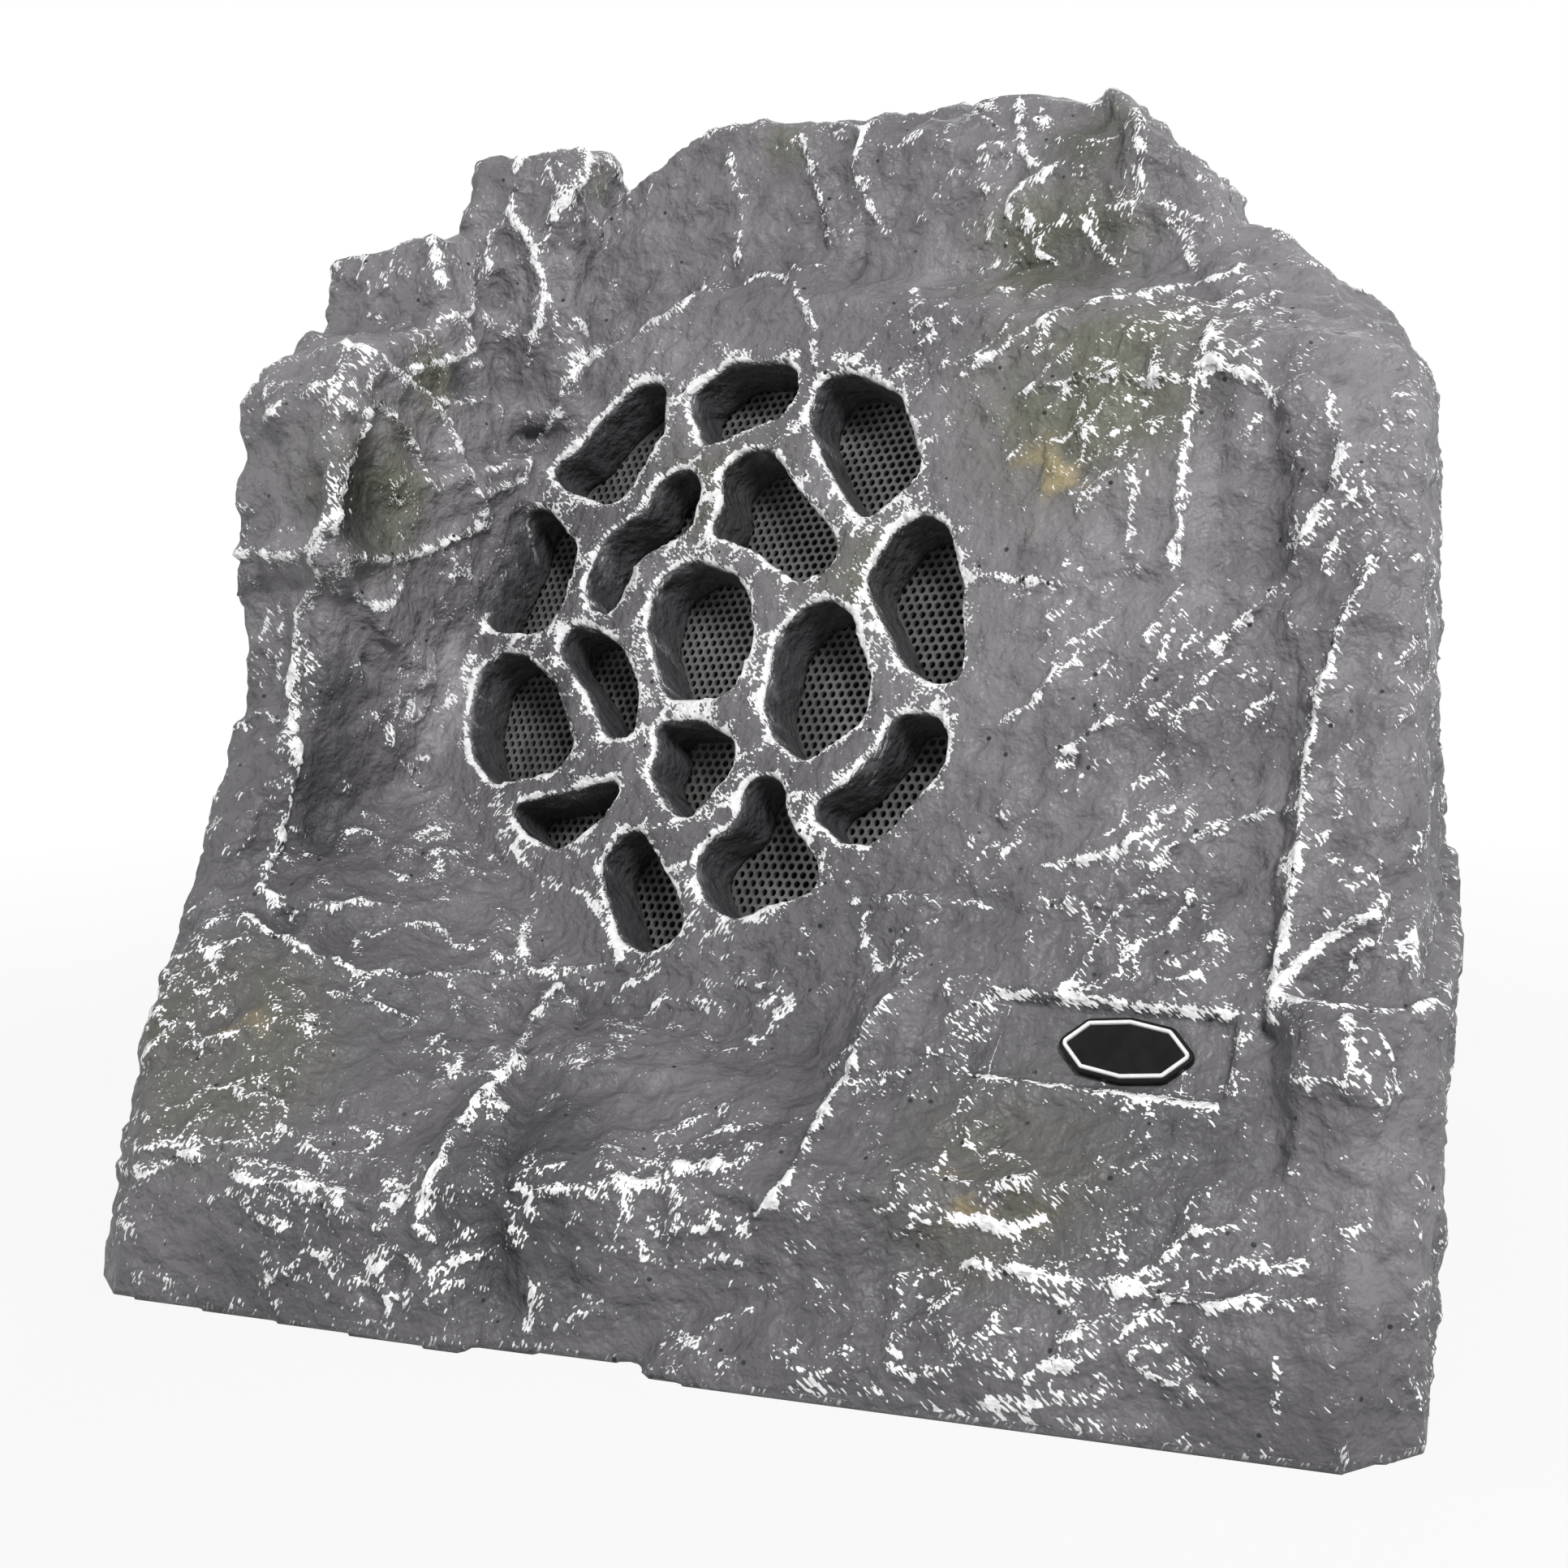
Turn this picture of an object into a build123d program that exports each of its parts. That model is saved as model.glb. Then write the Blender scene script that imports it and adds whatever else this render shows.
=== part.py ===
"""Rock shaped garden speaker: a hollow cast rock with an eight inch loudspeaker behind its openings.

Millimetres, +Z up. The front faces -Y and the origin is on the ground under the middle of the rock.
"""
import os
from math import cos, radians, sin, sqrt, tan

from build123d import *

# The rock
ROCK_WIDTH = 352.0
ROCK_DEPTH = 304.0
ROCK_HEIGHT = 328.0
ROCK_WALL = 7.0
LEFT = -ROCK_WIDTH / 2
RIGHT = ROCK_WIDTH / 2
FRONT = -ROCK_DEPTH / 2
BACK = ROCK_DEPTH / 2
TOP = ROCK_HEIGHT

# The grille panel, a facet that leans back and faces a little to the left
GRILLE_AZIMUTH = -19.0
GRILLE_ELEVATION = 26.0
GRILLE_THICKNESS = 20.0
OPENING_MARGIN = 6.0
OPENING_ROUND = 0.45
OPENING_CORNER = 8.0
GRILLE_X = LEFT + 145.5
GRILLE_Y = FRONT + 154.0
GRILLE_Z = 158.0

# The recessed field and the badge, low on the right
FIELD_WIDTH = 63.0
FIELD_HEIGHT = 22.0
FIELD_DEPTH = 3.0
FIELD_CORNER = 2.0
BADGE_WIDTH = 34.6
BADGE_HEIGHT = 17.0
BADGE_SHOULDER_X = 10.5
BADGE_SHOULDER_Y = 7.0
BADGE_CORNER = 2.5
BADGE_THICKNESS = 2.0
BADGE_RIM_WIDTH = 1.6
BADGE_RIM_HEIGHT = 0.8
BADGE_OFFSET = 6.0

# Perforated sheet and gasket in the loudspeaker well
WELL_WALL = 11.0
SHEET_CLEARANCE = 0.5
SHEET_THICKNESS = 1.0
SHEET_PITCH = 26.0
SHEET_HOLE = 8.5
GASKET_WIDTH = 4.0
GASKET_THICKNESS = 10.0
GASKET_CLEARANCE = 0.5

# Loudspeaker, radii about its own axis
FLANGE_THICKNESS = 2.5
FLANGE_MARGIN = 2.0
CONE_RADIUS = 82.0
CONE_DEPTH = 35.0
CONE_THICKNESS = 1.5
CONE_GLUE_WIDTH = 2.5
ROLL_WIDTH = 8.0
ROLL_RISE = 4.5
ROLL_TOP = 3.0
SURROUND_FOOT = 7.0
SURROUND_THICKNESS = 1.0
BASKET_DEPTH = 50.0
BASKET_THICKNESS = 2.5
BASKET_BACK_RADIUS = 54.0
BASKET_BORE_MARGIN = 6.0
BASKET_LIP = 2.0
BASKET_WINDOWS = 6
BASKET_WINDOW_WIDTH = 34.0
BASKET_WINDOW_HEIGHT = 24.0
COIL_RADIUS = 14.4
COIL_THICKNESS = 1.2
COIL_LENGTH = 21.0
COIL_GAP = 0.7
CAP_RADIUS = 32.0
CAP_RISE = 9.0
CAP_THICKNESS = 1.5
CAP_CROWN = 18.0
CAP_CROWN_RISE = 2.5
SPIDER_THICKNESS = 1.0
SPIDER_HEIGHT = 6.0
SPIDER_CLEARANCE = 0.2
PLATE_RADIUS = 50.0
PLATE_THICKNESS = 6.0
MAGNET_RADIUS = 48.0
MAGNET_BORE = 24.0
MAGNET_THICKNESS = 18.0
YOKE_RADIUS = 46.0
YOKE_THICKNESS = 6.0
TAG_WIDTH = 18.0
TAG_REACH = 14.0
TAG_THICKNESS = 2.0
TAG_INSET = 2.0
BLADE_SPACING = 9.0
BLADE_LENGTH = 8.0
BLADE_WIDTH = 3.0
BLADE_THICKNESS = 0.8

# Fasteners
SCREW_DIAMETER = 4.0
SCREW_HEAD_WIDTH = 7.0
SCREW_HEAD_HEIGHT = 2.4
SCREW_CLEARANCE = 0.1
SCREW_HOLE = SCREW_DIAMETER + 2 * SCREW_CLEARANCE
DRIVER_SCREWS = 4
DRIVER_SCREW_BITE = 9.0
BASE_SCREW_BITE = 7.0
BASE_SCREW_SPACING = 175.0

# Base plate, set up into the rim that the rock stands on
BASE_RIM = 12.0
BASE_FRONT_STEP = 14.0
BASE_CORNER = 34.0
BASE_ROUND = 10.0
BASE_RECESS = 3.5
BASE_THICKNESS = 4.0
BASE_CLEARANCE = 0.6
SEAL_THICKNESS = 2.0
SEAL_WIDTH = 3.5
SEAL_MARGIN = 0.5
LEDGE_WIDTH = 13.0
LEDGE_THICKNESS = 9.0

# Amplifier on the base plate
BOARD_X = 30.0
BOARD_Y = 50.0
BOARD_LENGTH = 130.0
BOARD_WIDTH = 84.0
BOARD_THICKNESS = 1.6
BOARD_HOLE_INSET = 5.0
STANDOFF_HEIGHT = 8.0
STANDOFF_WIDTH = 7.0
BOARD_SCREW_DIAMETER = 3.0
BOARD_HOLE = BOARD_SCREW_DIAMETER + 2 * SCREW_CLEARANCE
BOARD_SCREW_HEAD = 5.5
BOARD_SCREW_BITE = 5.0
SINK_X = -18.0
SINK_EDGE = 10.0
SINK_LENGTH = 70.0
SINK_WIDTH = 22.0
SINK_HEIGHT = 26.0
SINK_BASE = 4.0
SINK_FIN = 2.0
SINK_FINS = 5
CAPACITOR_X = -40.0
CAPACITOR_Y = -8.0
CAPACITOR_SPACING = 19.0
CAPACITOR_DIAMETER = 16.0
CAPACITOR_HEIGHT = 24.0
CAPACITORS = 3
RECEIVER_EDGE = 2.0
RECEIVER_Y = 8.0
RECEIVER_CORNER = 1.0
RECEIVER_LENGTH = 26.0
RECEIVER_WIDTH = 16.0
RECEIVER_HEIGHT = 3.0
TERMINAL_X = -30.0
TERMINAL_Y = -32.0
TERMINAL_LENGTH = 22.0
TERMINAL_WIDTH = 10.0
TERMINAL_HEIGHT = 12.0
LEAD_WIDTH = 5.0
LEAD_THICKNESS = 2.4
LEAD_BEND = 6.0
LEAD_STRAIGHT = 12.0

# Power socket in the rear wall
SOCKET_X = 95.0
SOCKET_Z = 74.0
SOCKET_BORE = 5.6
SOCKET_BARREL = 12.0
SOCKET_LENGTH = 19.0
SOCKET_FLANGE = 18.0
SOCKET_FLANGE_THICKNESS = 2.5
SOCKET_BORE_DEPTH = 10.0
SOCKET_NUT = 17.0
SOCKET_NUT_THICKNESS = 4.0
SOCKET_WASHER_THICKNESS = 1.0
SOCKET_CLEARANCE = 0.2
SOCKET_HOLE = SOCKET_BARREL + 2 * SOCKET_CLEARANCE

# Angles of the rear facet that carries the socket and of the facet that carries the badge
REAR_AZIMUTH = 180.0
REAR_ELEVATION = 6.0
REAR_POINT = (0.0, BACK, 20.0)
BADGE_AZIMUTH = -8.0
BADGE_ELEVATION = 38.0
BADGE_FACET_POINT = (RIGHT - 19, FRONT + 9, 38)
FIELD_X = RIGHT - 87.0
FIELD_Z = 76.5


def outward(azimuth, elevation):
    """Direction that a facet faces: azimuth 0 is the front, 90 the right side and 180 the back."""
    turn = radians(azimuth)
    rise = radians(elevation)
    return Vector(sin(turn) * cos(rise), -cos(turn) * cos(rise), sin(rise))


def facet_plane(azimuth, elevation, point):
    """Plane of a facet, with its x direction level and its z direction pointing out of the rock."""
    turn = radians(azimuth)
    return Plane(origin=point, x_dir=(cos(turn), sin(turn), 0), z_dir=outward(azimuth, elevation))


GRILLE_AXIS = outward(GRILLE_AZIMUTH, GRILLE_ELEVATION)
SEAT = facet_plane(GRILLE_AZIMUTH, GRILLE_ELEVATION, (GRILLE_X, GRILLE_Y, GRILLE_Z))
GRILLE_FACE = Vector(GRILLE_X, GRILLE_Y, GRILLE_Z) + GRILLE_AXIS * GRILLE_THICKNESS

# The rock's blocks. Each facet is its azimuth and elevation in degrees and one point on it.
ROCK_BLOCKS = {
    "core": [
        (GRILLE_AZIMUTH, GRILLE_ELEVATION, GRILLE_FACE.X, GRILLE_FACE.Y, GRILLE_FACE.Z),
        (-10, 24, RIGHT - 155, FRONT + 50, 36),
        (-35, 62, GRILLE_X - 77, GRILLE_Y + 52, GRILLE_Z + 96),
        (-2, 66, GRILLE_X + 4, GRILLE_Y + 33, GRILLE_Z + 112),
        (22, 64, RIGHT - 69, FRONT + 132, GRILLE_Z + 93),
        (8, 22, RIGHT - 68, FRONT + 95, 168),
        (88, 3, RIGHT - 15, 0, 232),
        (86, 32, RIGHT - 18, 0, 238),
        (72, 60, RIGHT - 49, FRONT + 152, 260),
        (-88, 3, LEFT, 0, 60),
        (REAR_AZIMUTH, REAR_ELEVATION, *REAR_POINT),
        (-130, 8, LEFT + 34, BACK - 17, 60),
        (138, 8, RIGHT - 28, BACK - 17, 60),
        (165, 48, 0, BACK - 30, 270),
        (-78, 45, LEFT + 12, 0, 236),
    ],
    "crown": [
        (-8, 13, GRILLE_X + 4, GRILLE_Y + 44, GRILLE_Z + 117),
        (-90, 86.5, GRILLE_X + 72, 0, TOP),
        (-90, 74, LEFT + 85, 0, TOP - 16),
        (90, 74, RIGHT - 133, 0, TOP),
        (90, 50, RIGHT - 107, 0, TOP - 9),
        (88, 14, RIGHT - 75, 0, 290),
        (-86, 10, LEFT + 64, 0, 300),
        (-172, 12, 0, BACK - 24, 60),
        (180, 50, 0, BACK - 44, TOP - 5),
        (0, 50, 0, GRILLE_Y + 56, TOP - 8),
    ],
    "toe_left": [
        (4, 47, LEFT + 24, FRONT + 74, 97),
        (32, 60, LEFT + 108, FRONT + 92, 74),
        (72, 24, LEFT + 111, FRONT + 14, 35),
        (-85, 5, LEFT, 0, 30),
        (-4, 8, LEFT + 32, FRONT + 13, 38),
        (-45, 14, LEFT + 13, FRONT + 18, 5),
        (10, 75, LEFT + 24, FRONT + 74, 101),
        (180, 0, 0, 60, 0),
    ],
    "bulge": [
        (BADGE_AZIMUTH, BADGE_ELEVATION, *BADGE_FACET_POINT),
        (-55, 40, RIGHT - 151, FRONT + 24, 45),
        (0, 9, 0, FRONT, 4),
        (88, 4, RIGHT - 3, 0, 30),
        (40, 8, RIGHT - 9, FRONT + 14, 10),
        (0, 85, 0, FRONT + 72, 108),
        (180, 0, 0, 40, 0),
    ],
    "skirt": [
        (4, 10, RIGHT - 147, FRONT + 11, 0),
        (-3, 62, RIGHT - 152, FRONT + 22, 46),
        (-86, 4, LEFT, 0, 20),
        (88, 4, RIGHT - 3, 0, 20),
        (-22, 8, LEFT + 84, FRONT + 18, 0),
        (-60, 8, LEFT + 12, FRONT + 27, 0),
        (45, 8, RIGHT - 7, FRONT + 20, 10),
        (180, 4, 0, BACK, 10),
        (-135, 6, LEFT + 19, BACK - 12, 10),
        (135, 6, RIGHT - 17, BACK - 12, 10),
        (180, 60, 0, BACK - 12, 60),
        (0, 85, 0, 0, 70),
    ],
    "shoulder": [
        (-22, 9, LEFT + 39, FRONT + 100, 224),
        (-86, 3, LEFT, 0, 205),
        (86, 1, LEFT + 43, FRONT + 100, 221),
        (-25, 58, LEFT + 14, FRONT + 120, 240),
        (40, 46, LEFT + 34, FRONT + 114, 246),
        (0, 80, LEFT + 34, FRONT + 122, 250),
        (0, -50, LEFT + 24, FRONT + 97, 187),
        (180, 0, 0, 60, 0),
    ],
    "pillar": [
        (-13, 3, LEFT + 34, FRONT + 104, 180),
        (-86, 2, LEFT, 0, 150),
        (70, -6, LEFT + 34, FRONT + 104, 180),
        (0, 80, LEFT + 24, FRONT + 112, 206),
        (180, 0, 0, 60, 0),
    ],
    "flank": [
        (-15, 33, LEFT, FRONT + 85, 108),
        (-86, 2, LEFT, 0, 150),
        (70, -6, LEFT + 34, FRONT + 104, 180),
        (0, 80, LEFT + 24, FRONT + 112, 206),
        (180, 0, 0, 60, 0),
    ],
    "step": [
        (-6, 12, LEFT + 16, GRILLE_Y + 14, TOP - 53),
        (-84, 8, LEFT, GRILLE_Y + 18, 264),
        (76, 9, LEFT + 44, GRILLE_Y + 12, TOP - 58),
        (-80, 82, LEFT + 21, GRILLE_Y + 18, TOP - 45),
        (-128, 9, LEFT + 38, BACK - 20, 60),
        (160, 46, 0, BACK - 34, 270),
        (0, -80, 0, 0, 205),
    ],
    "buttress": [
        (4, 4, LEFT + 49, GRILLE_Y + 36, TOP - 30),
        (-80, 6, LEFT + 49, 0, TOP - 33),
        (88, 5, LEFT + 76, GRILLE_Y + 38, TOP - 38),
        (-10, 83, LEFT + 64, GRILLE_Y + 38, TOP - 15),
        (-134, 10, LEFT + 36, BACK - 22, 60),
        (168, 50, 0, BACK - 38, 270),
        (0, -80, 0, 0, 235),
    ],
    "column": [
        (-7, 24, RIGHT - 35, FRONT + 114, 228),
        (-50, 16, RIGHT - 46, FRONT + 108, 208),
        (50, 12, RIGHT - 17, FRONT + 90, 180),
        (88, 3, RIGHT - 14, 0, 232),
        (15, 58, RIGHT - 35, FRONT + 116, 231),
        (84, 42, RIGHT - 20, 0, 236),
        (180, 0, 0, 40, 0),
        (0, -80, 0, 0, 70),
    ],
    "right_toe": [
        (-4, 16, RIGHT - 23, FRONT + 32, 88),
        (-60, 14, RIGHT - 42, FRONT + 47, 88),
        (48, 8, RIGHT - 8, FRONT + 40, 60),
        (88, -2, RIGHT, 0, 110),
        (0, 62, RIGHT - 23, FRONT + 48, 97),
        (0, 85, 0, 0, 100),
        (180, 0, 0, 40, 0),
        (0, -85, 0, 0, 20),
    ],
    "top_right": [
        (2, 8, RIGHT - 88, GRILLE_Y + 34, TOP - 18),
        (-60, 14, RIGHT - 99, GRILLE_Y + 34, TOP - 18),
        (88, 14, RIGHT - 74, 0, 290),
        (84, 48, RIGHT - 106, 0, TOP - 9),
        (0, 60, RIGHT - 93, GRILLE_Y + 38, TOP - 10),
        (180, 30, 0, BACK - 52, 300),
        (0, -80, 0, 0, 262),
    ],
}
HOLLOW_BLOCKS = ("core", "crown", "toe_left", "bulge", "skirt")

# The sound openings, as the corners of their outlines on the grille panel about its centre
OPENINGS = [
    [(-84, 53), (-73, 60), (-66, 72), (-55, 83), (-45, 84), (-39, 67), (-48, 40), (-73, 46)],
    [(-35, 77), (-22, 89), (5, 88), (8, 76), (5, 70), (-22, 60), (-26, 67)],
    [(14, 70), (15, 83), (26, 84), (46, 76), (61, 50), (44, 36), (38, 41), (24, 55)],
    [(-91, 3), (-87, 24), (-88, 39), (-79, 40), (-60, 27), (-59, 11), (-62, -3), (-86, -3)],
    [(-53, 13), (-50, 31), (-38, 39), (-35, 50), (-26, 54), (-17, 48), (-18, 31), (-34, 23), (-37, 4),
     (-48, 6)],
    [(-11, 31), (-8, 41), (-13, 51), (-7, 58), (4, 60), (17, 47), (38, 30), (38, 21), (28, 16), (7, 27)],
    [(49, 18), (55, 34), (64, 39), (73, 35), (82, 18), (89, -10), (82, -12), (69, -6)],
    [(-23, 0), (-25, 16), (-13, 23), (4, 19), (14, 9), (18, -4), (15, -19), (-8, -22)],
    [(27, -21), (25, 0), (31, 9), (41, 13), (49, 7), (60, -11), (61, -24), (47, -37), (34, -31)],
    [(-84, -33), (-86, -16), (-79, -10), (-68, -10), (-54, -18), (-37, -38), (-41, -46), (-65, -53),
     (-77, -45)],
    [(-56, -8), (-54, 0), (-45, 0), (-31, -5), (-19, -19), (-16, -35), (-26, -35), (-39, -21)],
    [(-59, -59), (-36, -53), (-15, -46), (-17, -58), (-30, -71), (-46, -67)],
    [(-7, -44), (-5, -36), (-11, -29), (6, -27), (22, -32), (22, -42), (12, -58), (4, -54)],
    [(-15, -74), (-11, -64), (-3, -60), (8, -71), (17, -79), (22, -89), (11, -96), (1, -94)],
    [(19, -70), (21, -62), (30, -56), (28, -45), (34, -41), (41, -43), (45, -52), (59, -64), (61, -72),
     (37, -83), (27, -80)],
    [(50, -50), (62, -41), (69, -30), (71, -20), (87, -20), (91, -33), (83, -46), (75, -58), (65, -58)],
]

# Places along the loudspeaker's axis, outwards from the seat of the perforated sheet
SHEET_BACK = -SHEET_THICKNESS
FLANGE_FRONT = SHEET_BACK - GASKET_THICKNESS
FLANGE_BACK = FLANGE_FRONT - FLANGE_THICKNESS
BASKET_BACK = FLANGE_FRONT - BASKET_DEPTH
PLATE_BACK = BASKET_BACK - PLATE_THICKNESS
MAGNET_BACK = PLATE_BACK - MAGNET_THICKNESS
YOKE_BACK = MAGNET_BACK - YOKE_THICKNESS
CONE_NECK = FLANGE_FRONT - CONE_DEPTH
ROLL_RADIUS = CONE_RADIUS + ROLL_WIDTH
SURROUND_RADIUS = ROLL_RADIUS + SURROUND_FOOT
WELL_RADIUS = SURROUND_RADIUS + GASKET_CLEARANCE + GASKET_WIDTH + SHEET_CLEARANCE
FLANGE_RADIUS = WELL_RADIUS + WELL_WALL - FLANGE_MARGIN
DRIVER_SCREW_CIRCLE = WELL_RADIUS + WELL_WALL / 2
BASKET_MOUTH = ROLL_RADIUS - BASKET_LIP
BASKET_BORE = COIL_RADIUS + BASKET_BORE_MARGIN
TAG_MIDDLE = BASKET_BACK_RADIUS + (TAG_INSET + TAG_REACH) / 2

# Heights in the base
BASE_BOTTOM = BASE_RECESS
BASE_TOP = BASE_BOTTOM + BASE_THICKNESS
LEDGE_BOTTOM = BASE_TOP + SEAL_THICKNESS
LEDGE_TOP = LEDGE_BOTTOM + LEDGE_THICKNESS
BOARD_BOTTOM = BASE_TOP + STANDOFF_HEIGHT
BOARD_TOP = BOARD_BOTTOM + BOARD_THICKNESS


def turned(*profile):
    """Solid of revolution about Z from (radius, height) corners."""
    return revolve(make_face(Plane.XZ * Polyline(*profile, close=True)), Axis.Z)


def ring(inside, outside, bottom, top):
    """Flat ring about Z between two radii and two heights."""
    return turned((inside, bottom), (outside, bottom), (outside, top), (inside, top))


def rod(diameter, bottom, top):
    """Upright round bar on the Z axis."""
    return Pos(0, 0, bottom) * extrude(Circle(diameter / 2), top - bottom)


def on_driver_axis(piece):
    """Carry a piece drawn about Z to the loudspeaker's own axis."""
    return SEAT.location * piece


def facet_block(facets, inset):
    """Convex block inside the rock's overall box, cut by its facets, each moved inwards by inset."""
    block = Pos(0, 0, TOP / 2) * Box(ROCK_WIDTH - 2 * inset, ROCK_DEPTH - 2 * inset, TOP - 2 * inset)
    for azimuth, elevation, x, y, z in facets:
        direction = outward(azimuth, elevation)
        cutter = Plane(origin=Vector(x, y, z) - direction * inset, z_dir=direction)
        block = split(block, bisect_by=cutter, keep=Keep.BOTTOM)
    return block


def rock_form():
    """Outer form of the rock, before it is hollowed."""
    blocks = [facet_block(facets, 0) for facets in ROCK_BLOCKS.values()]
    return blocks[0].fuse(*blocks[1:]).clean()


def base_outline(margin):
    """Eight sided outline of the base, drawn in from the rim by margin."""
    inset = BASE_RIM + margin
    corner = BASE_CORNER - margin * (2 - sqrt(2))
    left = LEFT + inset
    right = RIGHT - inset
    front = FRONT + inset + BASE_FRONT_STEP
    back = BACK - inset
    points = [(left, front + corner), (left + corner, front), (right - corner, front),
              (right, front + corner), (right, back - corner), (right - corner, back),
              (left + corner, back), (left, back - corner)]
    outline = make_face(Polyline(*points, close=True))
    return fillet(outline.vertices(), BASE_ROUND)


def base_slab(margin, bottom, top):
    """Slab of the base outline between two heights."""
    return Pos(0, 0, bottom) * extrude(base_outline(margin), top - bottom)


def base_screw_places():
    """Points along the middle of the ledge where the base screws go."""
    middle = base_outline(LEDGE_WIDTH / 2).wire()
    count = round(middle.length / BASE_SCREW_SPACING)
    return [middle.position_at((i + 0.5) / count) for i in range(count)]


def driver_screw_places():
    """Points round the well's wall, about the loudspeaker's axis."""
    return PolarLocations(DRIVER_SCREW_CIRCLE, DRIVER_SCREWS, start_angle=180 / DRIVER_SCREWS).locations


def badge_plane():
    """Floor of the recessed field, centred on it."""
    facet = facet_plane(BADGE_AZIMUTH, BADGE_ELEVATION, BADGE_FACET_POINT)
    along = (FIELD_X - BADGE_FACET_POINT[0]) / facet.x_dir.X
    up = (FIELD_Z - BADGE_FACET_POINT[2]) / facet.y_dir.Z
    return facet.shift_origin(facet.from_local_coords((along, up, 0))).offset(-FIELD_DEPTH)


def socket_plane():
    """Outer face of the rear facet at the power socket."""
    facet = facet_plane(REAR_AZIMUTH, REAR_ELEVATION, REAR_POINT)
    along = (SOCKET_X - REAR_POINT[0]) / facet.x_dir.X
    up = (SOCKET_Z - REAR_POINT[2]) / facet.y_dir.Z
    return facet.shift_origin(facet.from_local_coords((along, up, 0)))


def rounded_outline(points):
    """Closed outline with rounded corners, smaller where the sides beside them leave less room."""
    corners = [Vector(*point) for point in points]
    radii = []
    for before, corner, after in zip(corners[-1:] + corners[:-1], corners, corners[1:] + corners[:1]):
        turn = radians((corner - before).get_angle(after - corner))
        room = OPENING_ROUND * min((corner - before).length, (after - corner).length)
        radii.append(min(OPENING_CORNER, room / tan(turn / 2)))
    return FilletPolyline(*points, radius=radii, close=True)


def opening_cutters():
    """Prisms of the sound openings, right through the grille panel."""
    reach = GRILLE_THICKNESS + OPENING_MARGIN
    prisms = []
    for outline in OPENINGS:
        prism = extrude(make_face(rounded_outline(outline)), reach)
        prisms.append(on_driver_axis(Pos(0, 0, -1) * prism))
    return prisms


def make_rock_shell():
    """Cast rock: hollow, with a thick grille panel, a loudspeaker well and a ledge for the base."""
    hollow = [facet_block(ROCK_BLOCKS[name], ROCK_WALL) for name in HOLLOW_BLOCKS]
    cavity = hollow[0].fuse(*hollow[1:]).clean()
    above_ledge = extrude(Rectangle(ROCK_WIDTH, ROCK_DEPTH), TOP)
    cavity = cavity & Pos(0, 0, LEDGE_TOP) * above_ledge
    well_outside = WELL_RADIUS + WELL_WALL
    panel = turned((0, 0), (WELL_RADIUS, 0), (WELL_RADIUS, FLANGE_FRONT), (well_outside, FLANGE_FRONT),
                   (well_outside, GRILLE_THICKNESS * 2), (0, GRILLE_THICKNESS * 2))
    shell = rock_form() - (cavity - on_driver_axis(panel))
    shell -= base_slab(0, -1, LEDGE_BOTTOM)
    shell -= base_slab(LEDGE_WIDTH, LEDGE_BOTTOM - 1, LEDGE_TOP + 1)
    for prism in opening_cutters():
        shell -= prism
    bite = DRIVER_SCREW_BITE + SCREW_CLEARANCE
    hole = rod(SCREW_HOLE, FLANGE_FRONT - 1, FLANGE_FRONT + bite)
    for place in driver_screw_places():
        shell -= on_driver_axis(place * hole)
    bite = BASE_SCREW_BITE + SCREW_CLEARANCE
    hole = rod(SCREW_HOLE, LEDGE_BOTTOM - 1, LEDGE_BOTTOM + bite)
    for place in base_screw_places():
        shell -= Pos(place.X, place.Y, 0) * hole
    field = extrude(RectangleRounded(FIELD_WIDTH, FIELD_HEIGHT, FIELD_CORNER), 2 * FIELD_DEPTH)
    shell -= badge_plane().location * field
    shell -= socket_plane().location * rod(SOCKET_HOLE, -2 * ROCK_WALL, 1)
    return shell


def badge_outline():
    """Outline that comes to a blunt point at both ends, with rounded corners."""
    quarter = [(BADGE_WIDTH / 2, 0), (BADGE_SHOULDER_X, BADGE_SHOULDER_Y), (0, BADGE_HEIGHT / 2)]
    upper = quarter + [(-x, y) for x, y in quarter[1::-1]]
    lower = [(x, -y) for x, y in upper[-2:0:-1]]
    return make_face(FilletPolyline(*upper, *lower, radius=BADGE_CORNER, close=True))


def make_badge():
    """Plain badge with a raised rim, in the right part of the recessed field."""
    outline = badge_outline()
    plate = extrude(outline, BADGE_THICKNESS + BADGE_RIM_HEIGHT)
    plate -= Pos(0, 0, BADGE_THICKNESS) * extrude(offset(outline, -BADGE_RIM_WIDTH), BADGE_RIM_HEIGHT)
    return badge_plane().location * Pos(BADGE_OFFSET, 0, 0) * plate


def make_perforated_grille():
    """Perforated sheet behind the openings, with a coarse pattern of six sided holes."""
    radius = WELL_RADIUS - SHEET_CLEARANCE
    free = radius - GASKET_WIDTH - SHEET_HOLE
    sheet = Circle(radius)
    rows = int(2 * radius / (SHEET_PITCH * sqrt(3) / 2))
    for place in HexLocations(SHEET_PITCH / 2, rows, rows):
        if place.position.length < free:
            sheet -= place * RegularPolygon(SHEET_HOLE, 6)
    return on_driver_axis(Pos(0, 0, SHEET_BACK) * extrude(sheet, SHEET_THICKNESS))


def make_grille_gasket():
    """Foam ring that presses the perforated sheet on its seat."""
    outside = WELL_RADIUS - SHEET_CLEARANCE
    inside = outside - GASKET_WIDTH
    return on_driver_axis(ring(inside, outside, FLANGE_FRONT, SHEET_BACK))


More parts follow.
